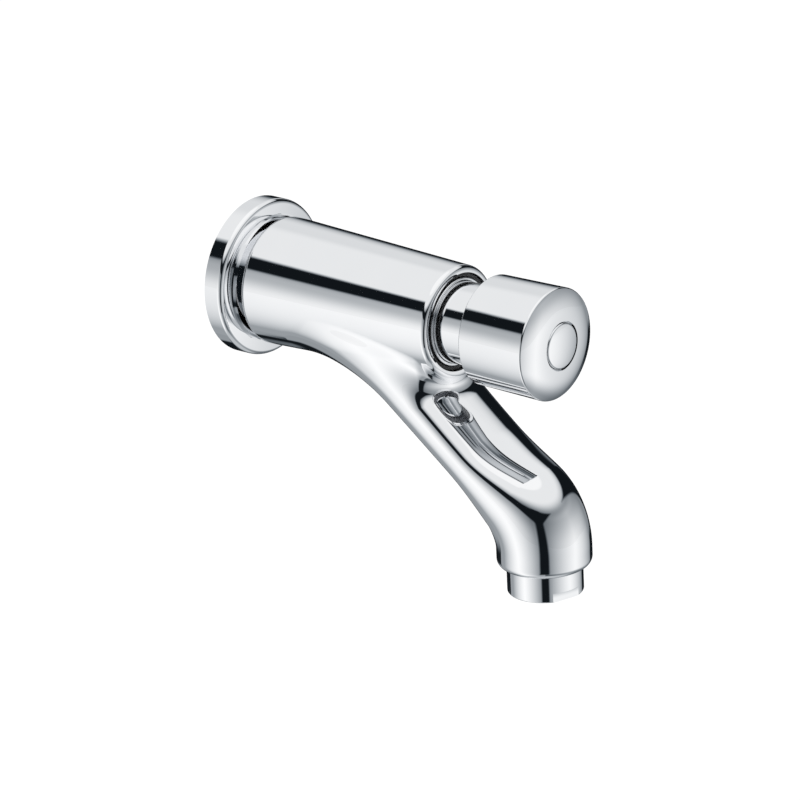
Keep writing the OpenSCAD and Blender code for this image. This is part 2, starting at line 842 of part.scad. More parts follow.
// Rings of points round the spring's wire
wire_play = 0.03;
wire_r = spring_wire / 2 - wire_play;
wire_skin = [
    for (i = [0:wire_rings * spring_turns])
        let (a = 360 * i / wire_rings, h = wire_height(i / wire_rings))
        [
            for (j = [0:wire_sides - 1])
                let (b = 360 * j / wire_sides, r = spring_r + wire_r * cos(b))
                [r * cos(a), r * sin(a), h + wire_r * sin(b)]
        ]
];

// Least distance between points of the wire that lie one turn apart
wire_gap = min([
    for (i = [0:wire_rings * (spring_turns - 1)]) for (p = wire_skin[i]) for (q = wire_skin[i + wire_rings])
        norm(p - q)
]);
echo(wire_gap = wire_gap);

// The wound return spring round the spindle
module return_spring() {
    color(steel) along_axis() translate([0, 0, neck_floor_front]) skin(wire_skin);
}

// The washer between the spring and the button's boss
module thrust_washer() {
    color(steel) tube(neck_bore_r - slip_clearance, spindle_r + slip_clearance, thrust_back, thrust_front);
}

// The button's outline as half a section, crowned in front
module button_outline() {
    rear_edge_r = 0.5;
    polygon(concat(
        [[0, button_back]],
        arc([button_rear_r - rear_edge_r, button_back + rear_edge_r], rear_edge_r, -90, 0, edge_steps),
        crowned_front(button_front_r, button_rim, button_edge_r, button_crown, button_fullness)
    ));
}

// The hollow button with its boss
module push_button() {
    color(chrome) difference() {
        union() {
            difference() {
                along_axis() rotate_extrude() button_outline();
                disc(button_bore_r, button_back - past, button_inner_face);
            }
            disc(boss_r, boss_back, button_inner_face + past);
        }
        disc(spindle_r + thread_clearance, boss_back - past, spindle_front + thread_clearance);
        disc(screw_r + thread_clearance, spindle_front, screw_seat + past);
        disc(screw_head_r + loose_clearance, screw_seat, button_top + past);
        disc(disc_r + disc_gap, disc_pocket, button_top + past);
    }
}

// The raised disc in the middle of the button's face
module index_disc() {
    disc_edge_r = 1;
    color(chrome) along_axis() rotate_extrude() polygon(concat(
        [[0, disc_pocket], [disc_r, disc_pocket]],
        domed_front(disc_r, disc_front - disc_dome, disc_edge_r, disc_dome)
    ));
}

// The slotted screw that holds the button on the spindle
module button_screw() {
    head_top = screw_seat + screw_head;
    color(steel) difference() {
        union() {
            disc(screw_r, screw_back, screw_seat + past);
            disc(screw_head_r, screw_seat, head_top);
        }
        translate([-screw_head_r - past, -head_top - past, -screw_slot_width / 2])
            cube([2 * (screw_head_r + past), screw_slot_depth + past, screw_slot_width]);
    }
}

// The bush in the button's rear end that runs on the neck
module guide_bush() {
    color(plastic_grey) tube(
        button_bore_r - thread_clearance, neck_r + running_clearance,
        guide_bush_back, guide_bush_back + bush_length
    );
}

// The spindle from the valve head to the button
module spindle() {
    color(steel) difference() {
        union() {
            disc(spindle_thread_r, spindle_back, washer_front + past);
            disc(spindle_r, washer_front, spindle_front);
        }
        disc(screw_r + thread_clearance, screw_back - past, spindle_front + past);
    }
}

// The timing piston with a groove for its lip seal
module piston() {
    half = lip_width / 2;
    color(plastic_grey) difference() {
        disc(piston_r, piston_back, piston_front);
        disc(spindle_r + glued_clearance, piston_back - past, piston_front + past);
        tube(piston_r + past, piston_r - lip_depth, lip_station - half, lip_station + half);
        along_axis() translate([pin_offset, 0, piston_back - past])
            cylinder(r = pin_r + glued_clearance, h = piston_length + 2 * past, $fn = 48);
    }
}

// The rubber seal that runs in the timing cylinder
module lip_seal() {
    half = lip_width / 2 - thread_clearance;
    color(rubber) tube(
        cylinder_r - running_clearance, piston_r - lip_depth + thread_clearance,
        lip_station - half, lip_station + half
    );
}

// The pin in the piston that sets the closing time
module metering_pin() {
    color(brass) along_axis() translate([pin_offset, 0, piston_back - pin_proud])
        cylinder(r = pin_r, h = piston_length + 2 * pin_proud, $fn = 48);
}

// The rubber washer that shuts the water off
module valve_washer() {
    color(rubber) tube(washer_r, spindle_thread_r + loose_clearance, washer_back, washer_front);
}

// The cup behind the valve washer
module valve_cup() {
    color(brass) difference() {
        disc(washer_r + cup_wall, cup_back, washer_back + cup_rim);
        disc(washer_r + thread_clearance, washer_back, washer_front);
        disc(spindle_thread_r + thread_clearance, cup_back - past, washer_front);
    }
}

// The nut on the spindle's rear end
module valve_nut() {
    color(brass) difference() {
        along_axis() translate([0, 0, nut_back])
            cylinder(r = nut_across / 2 / cos(30), h = nut_thickness, $fn = 6);
        disc(spindle_thread_r + thread_clearance, nut_back - past, cup_back + past);
    }
}

// The aerator's screwed housing with two spanner flats
module aerator_housing() {
    foot_edge_r = 0.5;
    height = aerator_collar_top - aerator_bottom;
    color(chrome) difference() {
        union() {
            outlet_disc(aerator_thread_r, aerator_collar_top - past, aerator_top);
            at_outlet(aerator_bottom) rotate_extrude() polygon(concat(
                [[0, 0]],
                arc([aerator_r - foot_edge_r, foot_edge_r], foot_edge_r, -90, 0, edge_steps),
                [[aerator_r, height], [0, height]]
            ));
        }
        outlet_disc(aerator_bore, screen_bottom, aerator_top + past);
        outlet_disc(aerator_ledge_r, aerator_bottom - past, screen_bottom + past);
        for (side = [0, 180])
            at_outlet(aerator_bottom - past) rotate([0, 0, side - flat_turn])
                translate([-aerator_r, aerator_flats / 2, 0])
                    cube([2 * aerator_r, aerator_r, flat_height + past]);
    }
}

// The plastic body of the aerator, slotted round its edge
module aerator_insert() {
    hub_r = 6;
    slot_width = 1.2;
    slot_depth = 3.5;
    hub_depth = 2;
    color(plastic_white) difference() {
        outlet_disc(insert_r, insert_bottom, insert_top);
        outlet_disc(hub_r, insert_top - hub_depth, insert_top + past);
        for (i = [0:slot_count - 1])
            at_outlet(insert_bottom - past) rotate([0, 0, 360 * i / slot_count])
                translate([insert_r - slot_depth, -slot_width / 2, 0])
                    cube([slot_depth + past, slot_width, insert_top - insert_bottom + 2 * past]);
    }
}

// The fine screen at the aerator's foot
module aerator_screen() {
    pitch = screen_gap + screen_bar;
    rim = 1.2;
    open_r = insert_r - rim;
    reach = floor(open_r / pitch);
    color(steel) difference() {
        outlet_disc(insert_r, screen_bottom, insert_bottom);
        for (i = [-reach:reach]) for (j = [-reach:reach])
            if (norm([abs(i) * pitch + screen_gap / 2, abs(j) * pitch + screen_gap / 2]) < open_r)
                at_outlet(screen_bottom - past)
                    translate([i * pitch - screen_gap / 2, j * pitch - screen_gap / 2, 0])
                        cube([screen_gap, screen_gap, screen_thickness + 2 * past]);
    }
}

// The disc that limits the flow
module flow_regulator() {
    holes = 8;
    hole_r = 1;
    ring_r = 7;
    rim = 2;
    dish = 0.8;
    color(plastic_grey) difference() {
        outlet_disc(insert_r, insert_top, aerator_top);
        outlet_disc(insert_r - rim, aerator_top - dish, aerator_top + past);
        for (i = [0:holes - 1])
            at_outlet(insert_top - past) rotate([0, 0, 360 * i / holes]) translate([ring_r, 0, 0])
                cylinder(r = hole_r, h = regulator_thickness + 2 * past, $fn = 32);
    }
}

// The flat seal over the aerator
module aerator_washer() {
    color(rubber) difference() {
        outlet_disc(aerator_thread_r - loose_clearance, aerator_top, aerator_bore_top);
        outlet_disc(outlet_bore_r, aerator_top - past, aerator_bore_top + past);
    }
}

valve_body();
wall_flange();
flange_gasket();
inlet_nipple();
inlet_strainer();
nipple_washer();
spacer_collar();
cartridge_barrel();
barrel_oring_rear();
barrel_oring_front();
valve_seat();
neck_sleeve();
neck_gasket();
spindle_bush();
spindle_oring();
ring_nut();
front_seal();
return_spring();
thrust_washer();
push_button();
index_disc();
button_screw();
guide_bush();
spindle();
piston();
lip_seal();
metering_pin();
valve_washer();
valve_cup();
valve_nut();
aerator_housing();
aerator_insert();
aerator_screen();
flow_regulator();
aerator_washer();
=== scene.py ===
"""Looks of a wall basin tap: a smooth plated casting, turned chrome pieces and soft studio light.

Lengths are in metres. The axis of the round body is the Y axis. The station of a point is its
distance forward of the wall, which is -y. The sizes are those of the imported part.
"""
import math

import bpy
import numpy as np
from mathutils import Euler, Matrix, Vector


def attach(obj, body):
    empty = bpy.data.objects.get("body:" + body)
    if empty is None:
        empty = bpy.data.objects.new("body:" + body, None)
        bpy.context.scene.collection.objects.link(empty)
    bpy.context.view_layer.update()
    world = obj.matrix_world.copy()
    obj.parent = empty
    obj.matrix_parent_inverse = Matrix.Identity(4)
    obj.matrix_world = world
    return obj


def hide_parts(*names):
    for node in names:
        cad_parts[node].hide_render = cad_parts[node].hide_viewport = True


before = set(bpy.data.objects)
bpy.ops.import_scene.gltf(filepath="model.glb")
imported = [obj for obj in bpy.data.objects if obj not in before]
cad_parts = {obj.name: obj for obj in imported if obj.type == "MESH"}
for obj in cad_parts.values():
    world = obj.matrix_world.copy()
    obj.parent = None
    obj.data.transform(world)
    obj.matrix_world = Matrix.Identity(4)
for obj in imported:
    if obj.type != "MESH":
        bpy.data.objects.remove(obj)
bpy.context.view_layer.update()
MM = 0.001

# Wall fitting
FLANGE_R = 30 * MM
FLANGE_DEPTH = 8 * MM
FLANGE_WALL = 2 * MM
FLANGE_EDGE = 2 * MM
FLANGE_SLOPE = 7
FLANGE_SEAT_R = 24.5 * MM
FLANGE_SEAT = 8.444 * MM
FLANGE_HOLE_R = 13.0 * MM
COLLAR_R = 24 * MM
COLLAR_NECK_R = 20 * MM
COLLAR_HOLE_R = 10.58 * MM
COLLAR_STEP = 10.2 * MM
THREAD_R = 10.48 * MM
THREAD_PITCH = 1.814 * MM
THREAD_DEPTH = 1.16 * MM
INLET_LENGTH = 13 * MM
NIPPLE_BORE_R = 6.5 * MM
NIPPLE_MOUTH_R = 8.0 * MM
NIPPLE_MOUTH_DEPTH = 1.6 * MM
NIPPLE_FRONT = 24 * MM
HEX_ACROSS = 22 * MM
HEX_BACK = 0.5 * MM
HEX_FRONT = 7.9 * MM
HEX_CHAMFER = 1.1 * MM
HEX_SLOPE = math.radians(30)

# Round body
BODY_BACK = 12 * MM
BODY_FRONT = 98.4 * MM
BODY_REAR_R = 24.45 * MM
BODY_FRONT_R = 21.15 * MM
BODY_REAR_EDGE = 2.5 * MM
BODY_FRONT_EDGE = 2.2 * MM
THREAD_BORE_R = 10.53 * MM
CHAMBER_BACK = 26 * MM
CHAMBER_R = 9.5 * MM
BARREL_BACK = 52 * MM
BARREL_BORE_R = 14 * MM
SHOULDER = 84 * MM
RECESS_R = 18.6 * MM

# Spout
REACH = 133.8 * MM
SLOPE = math.radians(38.2)
CORNER_DROP = 70.2 * MM
BEND_R = 22.4 * MM
SPOUT_DROP = 87.9 * MM
LIMB_HALF_WIDTH = 18.5 * MM
ROOT_HALF_WIDTH = 19 * MM
LIMB_TOP = 10.8 * MM
ROOT_TOP = 12.6 * MM
LIMB_BOTTOM = 11.9 * MM
LIMB_FLATNESS = 2.55
OUTLET_R = 17.8 * MM
LIP_EDGE = 3 * MM
ROOT_BLEND = 13.7 * MM
FACE_BLEND = 9.6 * MM
FACE_BLEND_LENGTH = 9 * MM
BLEND_TOP = 3.2 * MM
BLEND_FULL = -12.2 * MM
LEAST_BLEND = 0.05 * MM
TAPER_FROM = -82 * MM
WIDEN_FROM = -23.5 * MM
WIDEN_TO = 11.8 * MM
LEAST_SHARE = 1e-9
LEAST_SLOPE = 0.02 / MM
ROOT_END_EDGE = 2 * MM

# Neck and button
NUT_R = 18.5 * MM
NUT_BACK = 88 * MM
NUT_FLANGE = 91.2 * MM
NUT_FRONT = 98.2 * MM
NUT_NOSE_R = 16.6 * MM
NUT_HOLE_R = 15.5 * MM
NUT_BEAD = 0.55 * MM
# Black seal ring in the recess round the nut's nose: its black stands in for the shade in the
# groove between nut and body, as painted shade
SHADE_SEAL_BACK = 91.25 * MM
SHADE_SEAL_FRONT = 97.2 * MM
SHADE_SEAL_R = 18.5 * MM
SHADE_SEAL_HOLE_R = 16.7 * MM
SHADE_SEAL_EDGE = 0.5 * MM
NECK_R = 15.4 * MM
NECK_BORE_R = 13.5 * MM
NECK_FLANGE_R = 16.1 * MM
NECK_FLANGE = 89.9 * MM
NECK_BACK = 88 * MM
NECK_FLOOR_FRONT = 91 * MM
NECK_FRONT = 124 * MM
NECK_EDGE = 0.6 * MM
BUSH_R = 6 * MM
BUTTON_BACK = 113.5 * MM
BUTTON_RIM = 142.6 * MM
BUTTON_CROWN = 2.9 * MM
BUTTON_FULLNESS = 4
BUTTON_REAR_R = 20.7 * MM
BUTTON_FRONT_R = 21.2 * MM
BUTTON_REAR_EDGE = 0.5 * MM
BUTTON_EDGE = 0.9 * MM
BUTTON_BORE_R = 18.7 * MM
BUTTON_INNER_FACE = 139 * MM
DISC_R = 8.8 * MM
DISC_POCKET = 143.1 * MM
DISC_RIM = 145.7 * MM
DISC_DOME = 0.8 * MM
DISC_EDGE = 1 * MM
DISC_GAP = 0.5 * MM

# Aerator, with heights above the body's axis
AERATOR_THREAD_R = 13.95 * MM
AERATOR_R = 14.24 * MM
AERATOR_BORE_R = 12.1 * MM
AERATOR_LEDGE_R = 11.1 * MM
AERATOR_TOP = -80.2 * MM
AERATOR_COLLAR_TOP = -88.0 * MM
AERATOR_BOTTOM = -98.25 * MM
AERATOR_LEDGE_TOP = -96.85 * MM
AERATOR_EDGE = 0.5 * MM
AERATOR_FLATS = 26.1 * MM
FLAT_HEIGHT = 3.7 * MM
FLAT_TURN = math.radians(17.6)
AERATOR_SEAT_R = 14.0 * MM
AERATOR_SEAT_TOP = -78.6 * MM
OUTLET_BORE_R = 10 * MM
GROOVE_R = 16.5 * MM
GROOVE_BACK = 56.5 * MM
GROOVE_LENGTH = 10 * MM
PASSAGE_R = 6 * MM

# Fineness of the meshes
NET_STEP = 0.6 * MM
TURNED_SIDES = 192
ARC_STEPS = 8
THREAD_SIDES = 144
THREAD_STEPS = 10
NET_MARGIN = 3 * NET_STEP
NET_ROUNDS = 3
SHARP = math.radians(28)
PAST = 1 * MM
ON_AXIS = 1e-9
SAME_POINT = 1e-8
ON_SKIN = 0.05 * MM
FACING = 0.5


def ease(low, high, value):
    """Smooth step from 0 to 1 between two values."""
    u = np.clip((value - low) / (high - low), 0, 1)
    return u * u * (3 - 2 * u)


def rounded_edge(a, b, radius):
    """The greater of two distances, with a rounded edge."""
    outside = np.hypot(np.maximum(a + radius, 0), np.maximum(b + radius, 0))
    return outside + np.minimum(np.maximum(a + radius, b + radius), 0) - radius


def rounded_valley(a, b, width):
    """The lesser of two distances, with a rounded valley between them."""
    h = np.maximum(width - np.abs(a - b), 0) / width
    return np.minimum(a, b) - h * h * width / 4


SLOPE_DIR = np.array([math.cos(SLOPE), -math.sin(SLOPE)])
SLOPE_UP = np.array([math.sin(SLOPE), math.cos(SLOPE)])
BEND_ANGLE = math.pi / 2 - SLOPE
BEND_START = np.array([REACH, -CORNER_DROP]) - SLOPE_DIR * BEND_R * math.tan(BEND_ANGLE / 2)
BEND_CENTRE = BEND_START - SLOPE_UP * BEND_R
BEND_LENGTH = BEND_R * BEND_ANGLE
ROOT_PLACE = BEND_START[1] / math.sin(SLOPE)


def body_gap(x, s, z):
    """Distance of points from the round body's skin, below zero inside."""
    radius = BODY_REAR_R + (BODY_FRONT_R - BODY_REAR_R) * (s - BODY_BACK) / (BODY_FRONT - BODY_BACK)
    side = np.hypot(x, z) - radius
    front = rounded_edge(side, s - BODY_FRONT, BODY_FRONT_EDGE)
    return rounded_edge(front, BODY_BACK - s, BODY_REAR_EDGE)


def along_spout(s, z):
    """Place along the spout's line and height above it: a slope, a bend and a drop."""
    p = (s - BEND_START[0], z - BEND_START[1])
    q = (s - BEND_CENTRE[0], z - BEND_CENTRE[1])
    forward = p[0] * SLOPE_DIR[0] + p[1] * SLOPE_DIR[1]
    upward = p[0] * SLOPE_UP[0] + p[1] * SLOPE_UP[1]
    ahead = q[0] * SLOPE_DIR[0] + q[1] * SLOPE_DIR[1]
    above = q[0] * SLOPE_UP[0] + q[1] * SLOPE_UP[1]
    swing = np.arctan2(ahead, above)
    sloping = forward < 0
    bending = (swing < BEND_ANGLE) & (swing > -math.pi / 2)
    place = np.where(bending, BEND_R * swing, BEND_LENGTH + BEND_CENTRE[1] - z)
    height = np.where(bending, np.hypot(*q) - BEND_R, s - REACH)
    place = np.where(sloping, forward, place)
    height = np.where(sloping, upward, height)
    return place, height


def limb_size(place, root, limb):
    """A half size of the spout's section, from the root over the limb to the round outlet."""
    size = limb + (root - limb) * (1 - ease(TAPER_FROM, WIDEN_FROM, place))
    return size + (OUTLET_R - size) * ease(WIDEN_FROM, WIDEN_TO, place)


def oval_gap(x, height, half_width, half_depth, flatness):
    """Distance of points from a flattened oval, below zero inside."""
    across = np.abs(x) / half_width
    along = np.abs(height) / half_depth
    size = (across ** flatness + along ** flatness) ** (1 / flatness) + LEAST_SHARE
    power = flatness - 1
    slope = np.hypot((across / size) ** power / half_width, (along / size) ** power / half_depth)
    return (size - 1) / np.maximum(slope, LEAST_SLOPE)


def limb_gap(x, s, z):
    """Distance of points from the spout's skin, below zero inside."""
    place, height = along_spout(s, z)
    upper = height > 0
    half_width = limb_size(place, ROOT_HALF_WIDTH, LIMB_HALF_WIDTH)
    top = limb_size(place, ROOT_TOP, LIMB_TOP)
    bottom = limb_size(place, LIMB_BOTTOM, LIMB_BOTTOM)
    rounding = ease(WIDEN_FROM, WIDEN_TO, place)
    flatness = np.where(upper, LIMB_FLATNESS + (2 - LIMB_FLATNESS) * rounding, 2)
    side = oval_gap(x, height, half_width, np.where(upper, top, bottom), flatness)
    walls = rounded_edge(side, -SPOUT_DROP - z, LIP_EDGE)
    return rounded_edge(walls, ROOT_PLACE - place, ROOT_END_EDGE)


def casting_gap(points):
    """Distance of points from the casting's skin, where body and spout flow into each other."""
    x, s, z = points[..., 0], -points[..., 1], points[..., 2]
    near_face = ease(BODY_FRONT - FACE_BLEND_LENGTH, BODY_FRONT, s)
    width = ROOT_BLEND + (FACE_BLEND - ROOT_BLEND) * near_face
    width = width * ease(BLEND_TOP, BLEND_FULL, z) + LEAST_BLEND
    return rounded_valley(body_gap(x, s, z), limb_gap(x, s, z), width)


def slope_of(gap, points, reach=0.01 * MM):
    """Gradient of a distance at some points."""
    sides = [gap(points + reach * step) - gap(points - reach * step) for step in np.eye(3)]
    return np.stack(sides, axis=-1) / (2 * reach)


def settle(gap, points, rounds):
    """Moves points onto the surface where a distance is zero."""
    for _ in range(rounds):
        slope = slope_of(gap, points)
        points = points - slope * (gap(points) / (slope * slope).sum(-1))[:, None]
    return points


def skin_net(gap, low, high, step):
    """Points and quads of the closed surface where a distance is zero, found on an even grid."""
    counts = [int(math.ceil((b - a) / step)) + 1 for a, b in zip(low, high)]
    lines = [a + step * np.arange(n) for a, n in zip(low, counts)]
    slabs = []
    for y in lines[1]:
        slab = np.stack(np.meshgrid(lines[0], [y], lines[2], indexing="ij"), axis=-1)
        slabs.append(gap(slab))
    values = np.concatenate(slabs, axis=1)
    cells, places, quads = [], [], []
    strides = np.array([counts[1] * counts[2], counts[2], 1])
    for axis in range(3):
        one, two = (axis + 1) % 3, (axis + 2) % 3
        here = values[tuple(slice(0, -1) if k == axis else slice(None) for k in range(3))]
        there = values[tuple(slice(1, None) if k == axis else slice(None) for k in range(3))]
        found = np.argwhere((here < 0) != (there < 0))
        a = here[tuple(found.T)]
        b = there[tuple(found.T)]
        place = np.array(low) + step * found
        place[:, axis] += step * a / (a - b)
        base = found @ strides
        ring = [base, base - strides[one], base - strides[one] - strides[two], base - strides[two]]
        ring = np.stack(ring, axis=1)
        cells.append(ring.ravel())
        places.append(np.repeat(place, 4, axis=0))
        quads.append(np.where((a < 0)[:, None], ring, ring[:, ::-1]))
    cells = np.concatenate(cells)
    places = np.concatenate(places)
    used, index = np.unique(cells, return_inverse=True)
    number = np.bincount(index)
    points = np.stack([np.bincount(index, places[:, k]) / number for k in range(3)], axis=1)
    return points, np.searchsorted(used, np.concatenate(quads))


def relax(points, quads):
    """Draws each point half way towards the middle of its neighbours."""
    ends = np.concatenate([quads[:, [0, 1]], quads[:, [1, 2]], quads[:, [2, 3]], quads[:, [3, 0]]])
    number = sum(np.bincount(ends[:, k], minlength=len(points)) for k in range(2))
    middle = np.stack([
        np.bincount(ends[:, 0], points[ends[:, 1], k], len(points))
        + np.bincount(ends[:, 1], points[ends[:, 0], k], len(points))
        for k in range(3)
    ], axis=1) / number[:, None]
    return points + 0.5 * (middle - points)


def new_object(name, points, faces, material):
    """A mesh object from points and faces, shaded smoothly."""
    mesh = bpy.data.meshes.new(name)
    mesh.from_pydata([tuple(p) for p in points], [], [tuple(int(i) for i in f) for f in faces])
    mesh.validate()
    mesh.materials.append(material)
    mesh.shade_smooth()
    piece = bpy.data.objects.new(name, mesh)
    bpy.context.scene.collection.objects.link(piece)
    return piece


def line(start, end):
    """A straight stroke of a profile: its points and their outward normals."""
    start, end = np.array(start, float), np.array(end, float)
    d = (end - start) / np.linalg.norm(end - start)
    return np.array([start, end]), np.array([[d[1], -d[0]]] * 2)


def arc(centre, radius, first, last, steps=ARC_STEPS):
    """A round stroke of a profile. It bulges out where the angle grows and in where it shrinks."""
    angle = np.radians(np.linspace(first, last, steps + 1))
    spokes = np.stack([np.cos(angle), np.sin(angle)], axis=1)
    return np.array(centre) + radius * spokes, spokes if last > first else -spokes


def level_place(radius, height, angle):
    """A turned point round the body's axis, where height is the station."""
    return np.stack([radius * np.cos(angle), -height, radius * np.sin(angle)], axis=-1)


def upright_place(radius, height, angle):
    """A turned point round the outlet's axis."""
    return np.stack([radius * np.cos(angle), radius * np.sin(angle), height], axis=-1)


def turned(name, strokes, material, upright=False):
    """A turned piece from the strokes of its closed profile, with exact normals."""
    place = upright_place if upright else level_place
    shift = np.array([0, -REACH, 0]) if upright else np.zeros(3)
    sides = TURNED_SIDES
    angle = np.linspace(0, 2 * math.pi, sides, endpoint=False)
    points, faces, normals = [], [], []
    rings = {}

    def ring_of(p):
        key = (round(p[0] / MM, 4), round(p[1] / MM, 4))
        if key not in rings:
            first = sum(len(r) for r in points)
            if p[0] < ON_AXIS:
                points.append(place(np.zeros(1), np.full(1, p[1]), np.zeros(1)) + shift)
                rings[key] = np.full(sides, first)
            else:
                points.append(place(np.full(sides, p[0]), np.full(sides, p[1]), angle) + shift)
                rings[key] = first + np.arange(sides)
        return rings[key]

    for spots, outward in strokes:
        for (p, n), (q, m) in zip(zip(spots[:-1], outward[:-1]), zip(spots[1:], outward[1:])):
            a, b = ring_of(p), ring_of(q)
            at_p = place(np.full(sides, n[0]), np.full(sides, n[1]), angle)
            at_q = place(np.full(sides, m[0]), np.full(sides, m[1]), angle)
            for i in range(sides):
                j = (i + 1) % sides
                corners = [(a[i], at_p[i]), (a[j], at_p[j]), (b[j], at_q[j]), (b[i], at_q[i])]
                if a[i] == a[j]:
                    corners = [corners[0], corners[2], corners[3]]
                if b[i] == b[j]:
                    corners = corners[:3]
                faces.append([c[0] for c in corners])
                normals.extend([c[1] for c in corners])
    piece = new_object(name, np.concatenate(points), faces, material)
    piece.data.normals_split_custom_set([tuple(n) for n in normals])
    return piece


def closed(*strokes):
    """Strokes of a profile, with a straight stroke wherever one ends short of the next."""
    whole = []
    for k, stroke in enumerate(strokes):
        whole.append(stroke)
        end, start = stroke[0][-1], strokes[(k + 1) % len(strokes)][0][0]
        on_axis = end[0] < ON_AXIS and start[0] < ON_AXIS
        if np.linalg.norm(end - start) > SAME_POINT and not on_axis:
            whole.append(line(end, start))
    return whole


def domed(radius, rim, edge, rise):
    """Two strokes of a domed front: a rounded edge that runs smoothly into a dome."""
    flat = radius - edge
    dome = (flat * flat + rise * rise) / 2 / rise + edge
    tilt = math.degrees(math.asin(flat / (dome - edge)))
    return [
        arc((flat, rim - edge), edge, 0, 90 - tilt),
        arc((0, rim + rise - dome), dome, 90 - tilt, 90, 4 * ARC_STEPS),
    ]


def crowned(radius, rim, edge, rise, fullness, inner):
    """Two strokes of a full front: a rounded edge and a face that falls ever faster outwards."""
    tilt = math.atan(rise * fullness / radius)
    outer = radius - edge * (1 - math.sin(tilt))
    fall = rise + edge * (1 - math.cos(tilt))
    spots = np.linspace(outer, inner, 6 * ARC_STEPS + 1)
    share = spots / outer
    heights = rim + rise - fall * share ** fullness
    slopes = fall * fullness / outer * share ** (fullness - 1)
    outward = np.stack([slopes, np.ones_like(slopes)], axis=1)
    outward /= np.linalg.norm(outward, axis=1)[:, None]
    face = (np.stack([spots, heights], axis=1), outward)
    return [arc((radius - edge, rim - edge), edge, 0, 90 - math.degrees(tilt)), face]


def cut(piece, cutter):
    """Cuts one closed mesh out of another."""
    step = piece.modifiers.new("cut", "BOOLEAN")
    step.operation = "DIFFERENCE"
    step.solver = "EXACT"
    step.object = cutter
    graph = bpy.context.evaluated_depsgraph_get()
    mesh = bpy.data.meshes.new_from_object(piece.evaluated_get(graph))
    piece.modifiers.clear()
    piece.data = mesh
    bpy.data.objects.remove(cutter)


def number(tree, socket, value):
    """Sets a socket to a number, or links another socket to it."""
    if isinstance(value, (int, float)):
        socket.default_value = value
    else:
        tree.links.new(value, socket)


def calc(tree, operation, *values):
    """A maths node. Each value is a number or a socket."""
    node = tree.nodes.new("ShaderNodeMath")
    node.operation = operation
    for socket, value in zip(node.inputs, values):
        number(tree, socket, value)
    return node.outputs["Value"]


def ramp(tree, value, start, end, low=0.0, high=1.0):
    """Maps a value that runs from start to end smoothly onto low to high, clamped."""
    node = tree.nodes.new("ShaderNodeMapRange")
    node.interpolation_type = "SMOOTHSTEP"
    names = ("Value", "From Min", "From Max", "To Min", "To Max")
    for name, given in zip(names, (value, start, end, low, high)):
        number(tree, node.inputs[name], given)
    return node.outputs["Result"]


def between(tree, share, a, b):
    """The value a where share is 0 and b where it is 1."""
    node = tree.nodes.new("ShaderNodeMix")
    for place, value in ((0, share), (2, a), (3, b)):
        number(tree, node.inputs[place], value)
    return node.outputs[0]


def between_colours(tree, share, a, b):
    """The colour a where share is 0 and b where it is 1."""
    node = tree.nodes.new("ShaderNodeMix")
    node.data_type = "RGBA"
    number(tree, node.inputs[0], share)
    node.inputs[6].default_value = (*a, 1)
    node.inputs[7].default_value = (*b, 1)
    return node.outputs[2]


def noise(tree, scale, detail, stretch=(1, 1, 1)):
    """A noise in the object's own coordinates, with its scale per metre."""
    place = tree.nodes.new("ShaderNodeTexCoord")
    mapping = tree.nodes.new("ShaderNodeMapping")
    mapping.inputs["Scale"].default_value = stretch
    tree.links.new(place.outputs["Object"], mapping.inputs["Vector"])
    node = tree.nodes.new("ShaderNodeTexNoise")
    node.inputs["Scale"].default_value = scale
    node.inputs["Detail"].default_value = detail
    tree.links.new(mapping.outputs["Vector"], node.inputs["Vector"])
    return node.outputs[0]


def finish(name, colours, roughness, bumps, metallic=0.0, patches=60):
    """A material. Colour and roughness vary in patches, and each bump is a height and its depth."""
    material = bpy.data.materials.new(name)
    material.use_nodes = True
    tree = material.node_tree
    shader = tree.nodes["Principled BSDF"]
    shader.inputs["Metallic"].default_value = metallic
    cloud = ramp(tree, noise(tree, patches, 3.0), 0.3, 0.7)
    number(tree, shader.inputs["Base Color"], between_colours(tree, cloud, *colours))
    grain = noise(tree, 3.1 * patches, 2.0)
    number(tree, shader.inputs["Roughness"], ramp(tree, grain, 0.3, 0.7, *roughness))
    normal = None
    for height, depth in bumps:
        bump = tree.nodes.new("ShaderNodeBump")
        bump.inputs["Distance"].default_value = depth
        tree.links.new(height(tree), bump.inputs["Height"])
        if normal is not None:
            tree.links.new(normal, bump.inputs["Normal"])
        normal = bump.outputs["Normal"]
    tree.links.new(normal, shader.inputs["Normal"])
    return material


def polish(tree):
    """The slow waves that polishing leaves under a plated surface."""
    return noise(tree, 70, 1.0)


def tool_marks(tree):
    """Fine rings round the tap's axis, as a lathe leaves them."""
    return noise(tree, 2200, 2.0, stretch=(0.01, 1, 0.01))


def fine_grain(tree):
    return noise(tree, 2500, 3.0)


def pressed_fibres(tree):
    return noise(tree, 900, 4.0, stretch=(1, 6, 1))


def foam_cells(tree):
    """Closed bubbles about a millimetre across."""
    place = tree.nodes.new("ShaderNodeTexCoord")
    cells = tree.nodes.new("ShaderNodeTexVoronoi")
    cells.inputs["Scale"].default_value = 1100
    tree.links.new(place.outputs["Object"], cells.inputs["Vector"])
    return cells.outputs["Distance"]


def chrome():
    return finish(
        "polished_chrome", ((0.915, 0.922, 0.934), (0.925, 0.931, 0.942)), (0.02, 0.04),
        [(polish, 0.012 * MM)], metallic=1.0,
    )


def brass():
    return finish(
        "turned_brass", ((0.80, 0.62, 0.31), (0.84, 0.68, 0.38)), (0.2, 0.34),
        [(tool_marks, 0.03 * MM), (fine_grain, 0.004 * MM)], metallic=1.0,
    )


def steel():
    return finish(
        "stainless_steel", ((0.62, 0.63, 0.65), (0.70, 0.71, 0.73)), (0.16, 0.3),
        [(tool_marks, 0.02 * MM), (fine_grain, 0.003 * MM)], metallic=1.0,
    )


